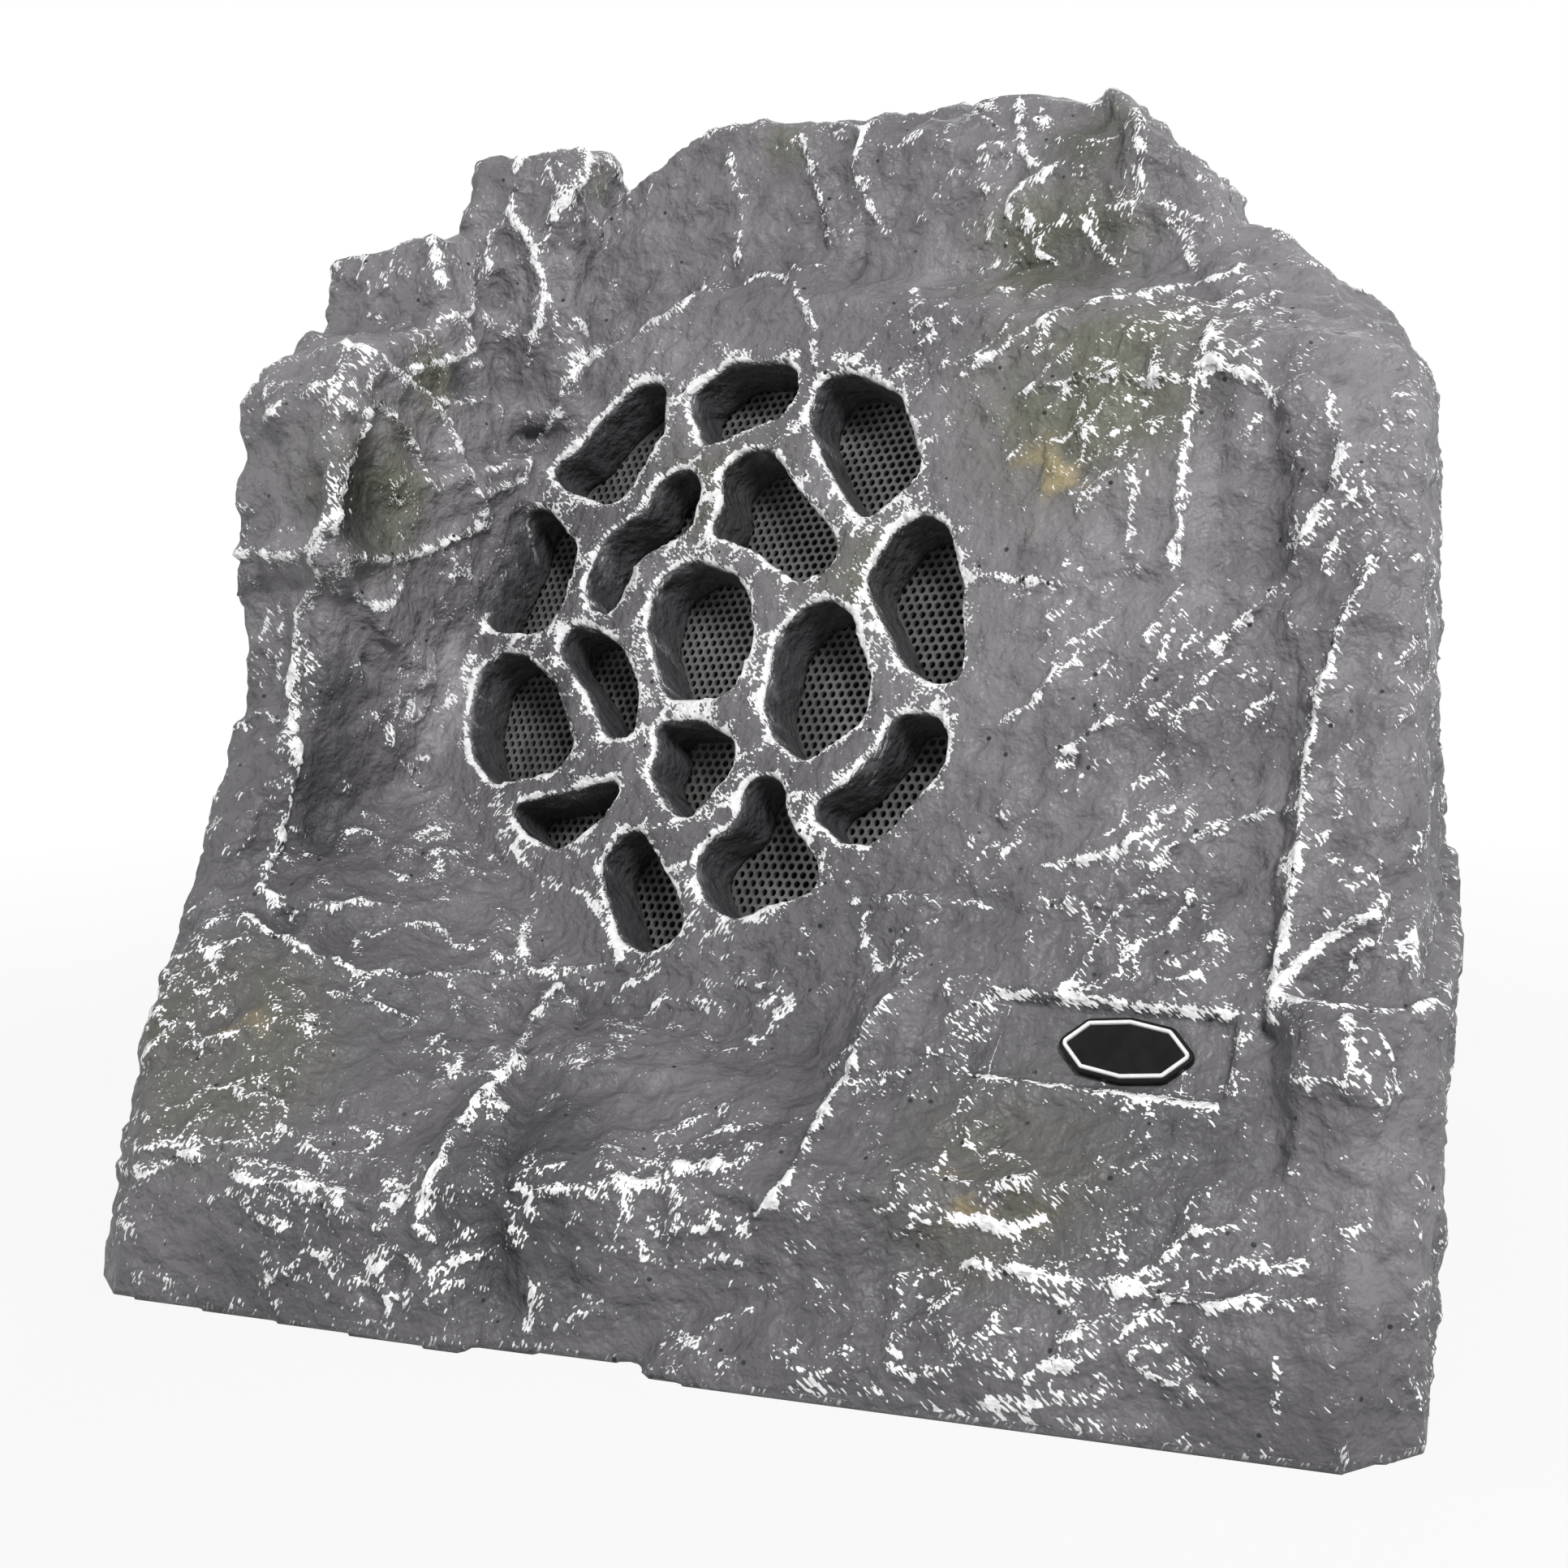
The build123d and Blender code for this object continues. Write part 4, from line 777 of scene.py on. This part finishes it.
normals = facing()
stands_near = ((points - spread(points, 3)) * normals).sum(1) / SKIN_STEP
stands_far = ((points - spread(points, 40)) * normals).sum(1) / SKIN_STEP
colour_and_painted_shade = np.tile(GREY_DARK, (len(points), 1))
colour_and_painted_shade = blended(colour_and_painted_shade, GREY_LIGHT, rise(mixed_heights(points, CLOUDS), -0.6, 0.6))
blotch = rise(mixed_heights(points, BLOTCHES), -0.7, 0.5)
colour_and_painted_shade = blended(colour_and_painted_shade, OLIVE_GREEN, patches(OLIVE) * (0.35 + 0.65 * blotch))
colour_and_painted_shade = blended(colour_and_painted_shade, OCHRE_YELLOW, patches(OCHRE) * rise(random_heights(points, 0.006, 82), 0.0, 0.6) * 0.8)
# Painted shade: what lies back from its surroundings is darkened
colour_and_painted_shade = blended(colour_and_painted_shade, PAINTED_SHADE_GREY, rise(-stands_far, 0.2, 2.4) * 0.7)
# Painted shade and painted light in the listed patches
for spot, radius, brightness_kept in SHADE_AND_LIGHT_PATCHES:
    colour_and_painted_shade *= 1 + (brightness_kept - 1) * round_spot(points, spot, radius, end=PATCH_END)[:, None]
# Painted shade towards the bottom, where the light falls off, on the walls of the openings and along the
# inner edge of the recessed field
low_shade = rise(points[:, 2] - 0.35 * points[:, 1], 0.2, 0.11)
field_edge_shade = rise(-field_away, -0.0004, 0.0002) * rise(field_away, -0.002, -0.0006)
for strength, area in ((0.38, low_shade), (0.9, in_openings), (0.6, field_edge_shade)):
    colour_and_painted_shade = blended(colour_and_painted_shade, PAINTED_SHADE_GREY, strength * area)

crest_line = np.full((len(points), 3), FAR)
steep_hairs = shares[:, 1] + shares[:, 2] * rise(skin[:, 0], 0.06, -0.02)
crest_line[outer] = np.column_stack([crests, patchy, steep_hairs])
layers = {"colour_and_painted_shade": colour_and_painted_shade,
          "line": np.column_stack([line_side, line_away, rim]),
          "stand": np.column_stack([stands_near, stands_far, spread(outer.astype(float), 1)]),
          "crest": crest_line}
print("stored for each point:", ", ".join(layers))

# %% [markdown]
# ## The rock's final mesh
#
# The net has far more points than the shapes need. It is thinned where it is nearly flat, mostly inside the
# casting, and kept within the box of the solids. Each point that is left takes its stored values from the
# nearest point of the net.

# %% The rock's final mesh
TRIANGLE_LIMIT = 196000
stone = bpy.data.meshes.new("stone")
stone.from_pydata(points.tolist(), [], triangles.tolist())
rock = add_object("rock", stone)
thin = rock.modifiers.new("thin", "DECIMATE")
thin.ratio = min(1, TRIANGLE_LIMIT / len(triangles))
thinned = applied(rock)
rock.modifiers.clear()
rock.data = thinned
inside = np.clip(read(thinned.vertices, "co", 3, np.float32), *np.array(cad_box))
thinned.vertices.foreach_set("co", inside.astype(np.float32).ravel())
finder = KDTree(len(points))
for i, place in enumerate(points.tolist()):
    finder.insert(place, i)
finder.balance()
nearest = np.array([finder.find(vertex.co)[1] for vertex in thinned.vertices])
for name, values in layers.items():
    layer = thinned.attributes.new(name, "FLOAT_VECTOR", "POINT")
    layer.data.foreach_set("vector", values[nearest].astype(np.float32).ravel())
thinned.shade_smooth()
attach(rock, "enclosure")
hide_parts("rock_shell")
print("rock:", len(thinned.polygons), "triangles")

# %% [markdown]
# ## Dry brushed paint
#
# White stays on the ridges, on the rims and ribs of the openings and on the short crests, and everywhere it
# is broken up into the thin hairs of the brush. The hairs lie across the crests: slanting down to the right
# over most of the front, and steeply upright on the crown and low down on the left. A place turns white
# where the strength of the hair passes a limit, and the more paint the relief would catch there, the lower
# that limit is.

# %% Dry brushed paint
def new_paint(name):
    """Material with its node tree and its paint node."""
    material = bpy.data.materials.new(name)
    material.use_nodes = True
    return material, material.node_tree, material.node_tree.nodes["Principled BSDF"]


def noise(tree, place, size, detail=2.0, roughness=0.5):
    """Random values from 0 to 1 with lumps of a size in metres."""
    return add_node(tree, "ShaderNodeTexNoise", inputs={"Vector": place, "Scale": 1 / size, "Detail": detail,
                    "Roughness": roughness}).outputs["Fac"]


def blend_colour(tree, share, first, second):
    """Mix of two colours."""
    node = add_node(tree, "ShaderNodeMix", {"data_type": "RGBA"})
    for name, value in (("Factor_Float", share), ("A_Color", first), ("B_Color", second)):
        socket = [s for s in node.inputs if s.identifier == name][0]
        if isinstance(value, bpy.types.NodeSocket):
            tree.links.new(value, socket)
        else:
            socket.default_value = value
    return [s for s in node.outputs if s.identifier == "Result_Color"][0]


rock_paint, tree, paint = new_paint("rock_paint")
place = add_node(tree, "ShaderNodeTexCoord").outputs["Object"]


def stored(name):
    """The three values that the rock's skin stores under a name."""
    layer = add_node(tree, "ShaderNodeAttribute", {"attribute_name": name})
    return add_node(tree, "ShaderNodeSeparateXYZ", inputs={0: layer.outputs["Vector"]}).outputs


def brush_hairs(angle, size, length):
    """Random strength of brush hairs that lie at an angle, mostly near 0.5 and seldom near 0 or 1."""
    turned = add_node(tree, "ShaderNodeMapping", inputs={"Vector": place, "Rotation": (0, radians(angle), 0)})
    squeezed = add_node(tree, "ShaderNodeMapping",
                        inputs={"Vector": turned.outputs[0], "Scale": (1 / length, 1, 1)})
    return ramp(tree, noise(tree, squeezed.outputs[0], size, 1.0, 0.5), 0.2, 0.8, shape="LINEAR")


def times(*values):
    """Product of values."""
    total = values[0]
    for value in values[1:]:
        total = maths(tree, "MULTIPLY", total, value)
    return total


def weigh(*parts):
    """Sum of values, each with its own weight."""
    total = None
    for value, weight in parts:
        part = maths(tree, "MULTIPLY", value, weight)
        total = part if total is None else maths(tree, "ADD", total, part)
    return total


line_side, line_away, rim_away = stored("line")
crest_at, patch_at, upright = stored("crest")
near_at, far_at, brushed = stored("stand")

HAIR_SIZE = 0.00068
HAIR_LENGTH = 4.2
BREAK_SIZE = 0.007
WANDER_SIZE = 0.0045
slanting = brush_hairs(-42, HAIR_SIZE, HAIR_LENGTH)
steep = brush_hairs(66, HAIR_SIZE, HAIR_LENGTH)
steep_share = ramp(tree, upright, 0.3, 0.7)
hairs = weigh((slanting, maths(tree, "SUBTRACT", 1.0, steep_share)), (steep, steep_share))
breaks = noise(tree, place, BREAK_SIZE, 2.0)
wander = ramp(tree, noise(tree, place, WANDER_SIZE, 2.0), 0.25, 0.75, -1.0, 1.0, "LINEAR")


def fading(value, full, none):
    """Share from 1 at one value to 0 at a higher one."""
    return ramp(tree, value, full, none, 1.0, 0.0)


def along_line(side, width, sway):
    """Share from 1 on a line to 0 at a width beside it, for a line that sways to and fro."""
    moved = maths(tree, "ABSOLUTE", weigh((side, 1.0), (wander, sway)))
    return fading(moved, 0.2, width)


def broken(low, high, least=0.0):
    """Share that drops to the least amount where a stroke is interrupted."""
    return ramp(tree, breaks, low, high, least, 1.0)


# Distances from lines, rims and crests are in millimetres
on_line = times(along_line(line_side, 2.6, 1.3), fading(line_away, 3.0, 4.0), broken(0.38, 0.58, 0.25))
on_rim = times(ramp(tree, rim_away, -1.6, -0.4), fading(rim_away, 0.2, 2.6), broken(0.36, 0.6, 0.45))
on_rib = times(ramp(tree, rim_away, -0.2, 0.6), fading(rim_away, 3.0, 9.0), broken(0.46, 0.66))
on_crest = times(along_line(crest_at, 2.2, 2.6), ramp(tree, patch_at, -0.25, 0.5), broken(0.42, 0.56, 0.2))
DAB_SIZE = 0.0055
dabs = times(ramp(tree, noise(tree, place, DAB_SIZE, 1.0), 0.5, 0.72), ramp(tree, patch_at, -0.7, 0.6))
stands = ramp(tree, near_at, -0.1, 0.5, -0.06, 0.18)
spread_out = ramp(tree, far_at, -1.5, 2.0, -0.06, 0.06)
patchiness = ramp(tree, patch_at, -0.8, 1.2, -0.07, 0.09)
catch = weigh((on_line, 0.5), (on_rim, 0.56), (on_rib, 0.36), (on_crest, 0.34), (dabs, 0.24), (stands, 1.0),
              (spread_out, 1.0), (patchiness, 1.0))
# Hardly any hair leaves paint on a flat place, and nearly every one does where the catch is a half and more
BARE_CATCH = 0.13
limit = maths(tree, "SUBTRACT", 1.0 - BARE_CATCH, catch)
white = times(ramp(tree, maths(tree, "SUBTRACT", hairs, limit), -0.02, 0.06), brushed)
WHITE_PAINT = (0.80, 0.79, 0.80, 1)
# Grey, olive and ochre of the casting, with its painted shade and painted light
colour_and_shade_socket = add_node(tree, "ShaderNodeAttribute", {"attribute_name": "colour_and_painted_shade"}).outputs["Color"]
colour = blend_colour(tree, white, colour_and_shade_socket, WHITE_PAINT)
print("white paint:", len(tree.nodes), "nodes")

# %% [markdown]
# ## Pin holes and grain
#
# Bubbles in the casting leave pin holes here and there; the shade inside them is painted in as near black
# dots. The finest lumps and the grain of the stone are too small for the mesh, so they are left to the way
# the surface catches the light.

# %% Pin holes and grain
# Painted shade: the pin holes are painted near black
PIN_SHADE_BLACK = (0.02, 0.02, 0.02, 1)
PINS_PER_METRE = 140
bubbles = add_node(tree, "ShaderNodeTexVoronoi", inputs={"Vector": place, "Scale": PINS_PER_METRE})
chance = add_node(tree, "ShaderNodeSeparateColor", inputs={0: bubbles.outputs["Color"]}).outputs[0]
pin_shade = times(fading(bubbles.outputs["Distance"], 0.075, 0.11), ramp(tree, chance, 0.5, 0.51))
colour = blend_colour(tree, pin_shade, colour, PIN_SHADE_BLACK)

# Sizes in metres, and below them heights in millimetres
LUMP_SIZE = 0.0065
GRAIN_SIZE = 0.0022
lumps = noise(tree, place, LUMP_SIZE, 3.0)
grain = noise(tree, place, GRAIN_SIZE, 2.0)
height = weigh((lumps, 4.2), (grain, 0.8))
bump = add_node(tree, "ShaderNodeBump", inputs={"Height": height, "Distance": 0.001, "Strength": 0.8})
tree.links.new(colour, paint.inputs["Base Color"])
tree.links.new(ramp(tree, breaks, 0.3, 0.7, 0.42, 0.6), paint.inputs["Roughness"])
tree.links.new(bump.outputs[0], paint.inputs["Normal"])
paint.inputs["Specular IOR Level"].default_value = 0.3
rock.data.materials.append(rock_paint)
print("rock paint:", len(tree.nodes), "nodes")

# %% [markdown]
# ## The perforated sheet
#
# Behind the openings lies a disc of grey painted steel with round holes of about 2 mm in staggered rows,
# 3 mm apart. The solid only has a coarse pattern, so the fine sheet takes its place. Every hole sits in its
# own slanted cell, made of a front, a back and the wall of the hole, and cells that touch share their
# corners. A plain ring closes the edge.

# %% The perforated sheet
HOLE_STEP = 0.003
HOLE_RADIUS = 0.00108
SHEET_THICKNESS = 0.001
SHEET_RADIUS = 0.1015
HOLED_RADIUS = 0.0975
ROW_ANGLE = 5.4
HOLE_SIDES = 8

SEAT_RIGHT = np.cross([0, 0, 1], SEAT_AXIS)
SEAT_RIGHT /= np.linalg.norm(SEAT_RIGHT)
SEAT_UP = np.cross(SEAT_AXIS, SEAT_RIGHT)


def on_seat(flat, height):
    """Places in space from places on the sheet's seat and a height along the seat's axis."""
    return SEAT_CENTRE + np.outer(flat[:, 0], SEAT_RIGHT) + np.outer(flat[:, 1], SEAT_UP) + height * SEAT_AXIS


def circle(radius, count, first_angle=0.0):
    """Corners of a regular outline about the origin."""
    angles = np.radians(first_angle) + np.arange(count) * 2 * np.pi / count
    return radius * np.column_stack([np.cos(angles), np.sin(angles)])


row = radians(ROW_ANGLE)
step_along = HOLE_STEP * np.array([cos(row), sin(row)])
step_up = HOLE_STEP * np.array([cos(row + radians(60)), sin(row + radians(60))])
count = int(HOLED_RADIUS / HOLE_STEP * 1.3)
cells = np.array([(i, j) for i in range(-count, count + 1) for j in range(-count, count + 1)])
middles = cells[:, :1] * step_along + cells[:, 1:] * step_up
kept = np.linalg.norm(middles, axis=1) < HOLED_RADIUS
cells, middles = cells[kept], middles[kept]
# Four half steps from the middle of a cell to its corners, in the order in which they go round
half_steps = np.array([(1, 1), (-1, 1), (-1, -1), (1, -1)])
corner_keys = (2 * cells[:, None, :] + half_steps[None]).reshape(-1, 2)
corner_grid, corner_names = np.unique(corner_keys, axis=0, return_inverse=True)
corner_names = corner_names.reshape(-1, 4)
cell_corners = corner_grid[:, :1] * step_along / 2 + corner_grid[:, 1:] * step_up / 2
hole_corners = (middles[:, None, :] + circle(HOLE_RADIUS, HOLE_SIDES, ROW_ANGLE + 30)[None]).reshape(-1, 2)
hole_names = len(cell_corners) + np.arange(len(hole_corners)).reshape(-1, HOLE_SIDES)
flat = np.concatenate([cell_corners, hole_corners])
sheet_faces = []
back = len(flat)
for quarter in range(4):
    here, there = corner_names[:, quarter], corner_names[:, (quarter + 1) % 4]
    near_hole, top_hole, far_hole = (hole_names[:, (2 * quarter + i) % HOLE_SIDES] for i in range(3))
    for face in ((here, top_hole, near_hole), (here, there, top_hole), (there, far_hole, top_hole)):
        sheet_faces.append(np.column_stack(face))
        sheet_faces.append(np.column_stack(face[::-1]) + back)
for i in range(HOLE_SIDES):
    this, following = hole_names[:, i], hole_names[:, (i + 1) % HOLE_SIDES]
    sheet_faces.append(np.column_stack([this, following, following + back]))
    sheet_faces.append(np.column_stack([this, following + back, this + back]))
sheet_points = np.concatenate([on_seat(flat, 0.0), on_seat(flat, -SHEET_THICKNESS)])
RING_CORNERS = 120
RING_DOWN = 0.00005
RING_OVERLAP = 0.0008
ring_start = len(sheet_points)
ring_inside = circle(HOLED_RADIUS - RING_OVERLAP, RING_CORNERS)
ring_outside = circle(SHEET_RADIUS, RING_CORNERS)
ring_back = RING_DOWN - SHEET_THICKNESS
ring_loops = [on_seat(ring_inside, -RING_DOWN), on_seat(ring_outside, -RING_DOWN),
              on_seat(ring_outside, ring_back), on_seat(ring_inside, ring_back)]
here = np.arange(RING_CORNERS)
there = (here + 1) % RING_CORNERS
for loop in range(4):
    low = ring_start + loop * RING_CORNERS
    high = ring_start + (loop + 1) % 4 * RING_CORNERS
    sheet_faces.append(np.column_stack([low + here, high + here, high + there]))
    sheet_faces.append(np.column_stack([low + here, high + there, low + there]))
sheet_mesh = bpy.data.meshes.new("fine_sheet")
sheet_points = np.concatenate([sheet_points, *ring_loops])
sheet_mesh.from_pydata(sheet_points.tolist(), [], np.concatenate(sheet_faces).tolist())
sheet = add_object("fine_sheet", sheet_mesh)
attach(sheet, "enclosure")
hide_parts("perforated_grille")

SHEET_GREY = (0.125, 0.125, 0.122, 1)
SHEET_DUSTY = (0.195, 0.192, 0.190, 1)
sheet_paint, tree, paint = new_paint("sheet_paint")
place = add_node(tree, "ShaderNodeTexCoord").outputs["Object"]
dust = noise(tree, place, 0.012, 3.0, 0.6)
sheet_colour = blend_colour(tree, ramp(tree, dust, 0.4, 0.7), SHEET_GREY, SHEET_DUSTY)
tree.links.new(sheet_colour, paint.inputs["Base Color"])
tree.links.new(ramp(tree, dust, 0.3, 0.7, 0.38, 0.6), paint.inputs["Roughness"])
paint.inputs["Metallic"].default_value = 0.3
sheet_mesh.materials.append(sheet_paint)
print("sheet:", len(cells), "holes,", len(sheet_mesh.polygons), "triangles")

# %% [markdown]
# ## The badge
#
# A small moulded badge sits in the recessed field: black, with blunt points at both ends and a thin silver
# rim. Its face stays bare. It is built in loops, each a little further in and at its own height, so that
# the edge is rounded and the rim stands up. The solid gives its place.

# %% The badge
# Corners of the outline from the right point round, and the radius that rounds them, in millimetres
BADGE_CORNERS = [(17.3, 0), (10.5, 7), (0, 8.5), (-10.5, 7), (-17.3, 0), (-10.5, -7), (0, -8.5),
                 (10.5, -7)]
BADGE_ROUND = 2.5
ARC_STEPS = 7
# Distance in from the outline, height, and whether the band up to there is silver
BADGE_LOOPS = [(0, 0, False), (0, 1.6, False), (0.15, 1.95, False), (0.5, 2.15, False), (0.95, 2.2, False),
               (1.05, 2.6, True), (1.25, 2.8, True), (1.65, 2.8, True), (1.9, 2.6, True), (2.0, 2.1, True),
               (2.3, 2.05, False)]


def badge_loop(inset):
    """Rounded outline, drawn in by an inset."""
    outline = np.array(BADGE_CORNERS, float)
    loop = []
    for i, corner in enumerate(outline):
        sides = (corner - outline[i - 1], outline[(i + 1) % len(outline)] - corner)
        out = [np.array([side[1], -side[0]]) / np.linalg.norm(side) for side in sides]
        middle = corner - BADGE_ROUND * (out[0] + out[1]) / (1 + out[0] @ out[1])
        start = np.arctan2(out[0][1], out[0][0])
        turn = (np.arctan2(out[1][1], out[1][0]) - start + np.pi) % (2 * np.pi) - np.pi
        for share in np.linspace(0, 1, ARC_STEPS):
            angle = start + turn * share
            loop.append(middle + (BADGE_ROUND - inset) * np.array([cos(angle), sin(angle)]))
    return np.array(loop)


loop_size = len(BADGE_CORNERS) * ARC_STEPS
badge_points = np.concatenate([np.column_stack([badge_loop(inset), np.full(loop_size, height)])
                               for inset, height, _ in BADGE_LOOPS]) / 1000
badge_places = badge_centre + badge_points @ field_axes
badge_faces = []
silver_faces = []
for loop in range(len(BADGE_LOOPS) - 1):
    for i in range(loop_size):
        j = (i + 1) % loop_size
        low, high = loop * loop_size, (loop + 1) * loop_size
        badge_faces.append((low + i, low + j, high + j, high + i))
        silver_faces.append(int(BADGE_LOOPS[loop + 1][2]))
last = (len(BADGE_LOOPS) - 1) * loop_size
badge_faces.append(tuple(range(last, last + loop_size)))
badge_faces.append(tuple(range(loop_size))[::-1])
silver_faces += [0, 0]
badge_mesh = bpy.data.meshes.new("black_badge")
badge_mesh.from_pydata(badge_places.tolist(), [], badge_faces)
badge_mesh.polygons.foreach_set("material_index", silver_faces)
badge = add_object("black_badge", badge_mesh)
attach(badge, "enclosure")
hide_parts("badge")
print("badge:", len(badge_mesh.polygons), "faces")

# %% [markdown]
# ## Finishes of the other pieces
#
# The pieces inside are seldom seen, but each has the finish of its real material: painted or plated steel,
# foam, rubber, treated paper, cloth, copper, plastic. Each finish wanders a little between two tones and
# has its own grain.

# %% Finishes of the other pieces
# Two tones, size of the grain in millimetres, roughness, how metallic it is, depth of the grain in
# millimetres, and the pieces that have the finish
FINISHES = {
    "badge_black": ((0.003, 0.003, 0.003), (0.005, 0.005, 0.005), 4, 0.35, 0.0, 0.0, []),
    "badge_silver": ((0.74, 0.74, 0.75), (0.82, 0.82, 0.83), 2, 0.35, 0.25, 0.0, []),
    "foam": ((0.02, 0.02, 0.02), (0.06, 0.06, 0.06), 0.8, 0.95, 0.0, 0.4, ["grille_gasket", "base_seal"]),
    "black_steel": ((0.02, 0.02, 0.022), (0.035, 0.035, 0.037), 3, 0.45, 0.2, 0.05, ["driver_basket"]),
    "rubber": ((0.008, 0.008, 0.008), (0.014, 0.014, 0.014), 2, 0.7, 0.0, 0.05,
        ["surround", "socket_washer"]),
    "paper": ((0.008, 0.008, 0.009), (0.016, 0.016, 0.015), 1.5, 0.9, 0.0, 0.2, ["cone", "dust_cap"]),
    "copper": ((0.55, 0.25, 0.12), (0.72, 0.36, 0.18), 1, 0.35, 0.9, 0.05, ["voice_coil"]),
    "cloth": ((0.42, 0.31, 0.14), (0.55, 0.43, 0.22), 1, 0.9, 0.0, 0.3, ["spider"]),
    "zinc": ((0.52, 0.52, 0.50), (0.66, 0.65, 0.62), 3, 0.35, 0.9, 0.02,
        ["top_plate", "pole_yoke", "driver_screws", "base_screws", "board_screws"]),
    "ferrite": ((0.05, 0.05, 0.055), (0.09, 0.09, 0.09), 2, 0.75, 0.1, 0.1, ["ferrite_magnet"]),
    "laminate": ((0.16, 0.08, 0.035), (0.22, 0.12, 0.05), 2, 0.6, 0.0, 0.05, ["driver_terminals"]),
    "black_plastic": ((0.018, 0.018, 0.019), (0.032, 0.032, 0.033), 1, 0.55, 0.0, 0.08,
        ["base_plate", "power_socket"]),
    "green_board": ((0.01, 0.09, 0.04), (0.02, 0.14, 0.06), 4, 0.35, 0.0, 0.02, ["amplifier_board"]),
    "brass": ((0.55, 0.40, 0.13), (0.68, 0.52, 0.2), 2, 0.3, 0.95, 0.02, ["board_standoffs", "socket_nut"]),
    "aluminium": ((0.55, 0.55, 0.57), (0.68, 0.68, 0.70), 2, 0.4, 0.9, 0.03,
        ["heat_sink", "receiver_module"]),
    "sleeve": ((0.010, 0.012, 0.04), (0.018, 0.02, 0.06), 3, 0.3, 0.0, 0.0, ["capacitors"]),
    "green_plastic": ((0.02, 0.15, 0.06), (0.03, 0.2, 0.08), 2, 0.5, 0.0, 0.03, ["terminal_block"]),
    "red_lead": ((0.22, 0.01, 0.01), (0.3, 0.02, 0.02), 2, 0.6, 0.0, 0.05, ["speaker_lead"]),
}
finishes = {}
for name, (dark, light, size, rough, metal, depth, nodes) in FINISHES.items():
    finishes[name], tree, paint = new_paint(name)
    grain = noise(tree, add_node(tree, "ShaderNodeTexCoord").outputs["Object"], size / 1000, 3.0, 0.55)
    tones = blend_colour(tree, ramp(tree, grain, 0.3, 0.7), (*dark, 1), (*light, 1))
    tree.links.new(tones, paint.inputs["Base Color"])
    tree.links.new(ramp(tree, grain, 0.3, 0.7, rough - 0.05, rough + 0.05), paint.inputs["Roughness"])
    paint.inputs["Metallic"].default_value = metal
    if depth:
        bump = add_node(tree, "ShaderNodeBump",
                        inputs={"Height": grain, "Distance": depth / 1000, "Strength": 0.6})
        tree.links.new(bump.outputs[0], paint.inputs["Normal"])
    for node in nodes:
        solids[node].data.materials.clear()
        solids[node].data.materials.append(finishes[name])
BADGE_SHINE = 0.15
badge_black = finishes["badge_black"].node_tree.nodes["Principled BSDF"]
badge_black.inputs["Specular IOR Level"].default_value = BADGE_SHINE
badge_mesh.materials.append(finishes["badge_black"])
badge_mesh.materials.append(finishes["badge_silver"])
print("finishes:", len(finishes), "on", sum(len(row[-1]) for row in FINISHES.values()) + 1, "pieces")
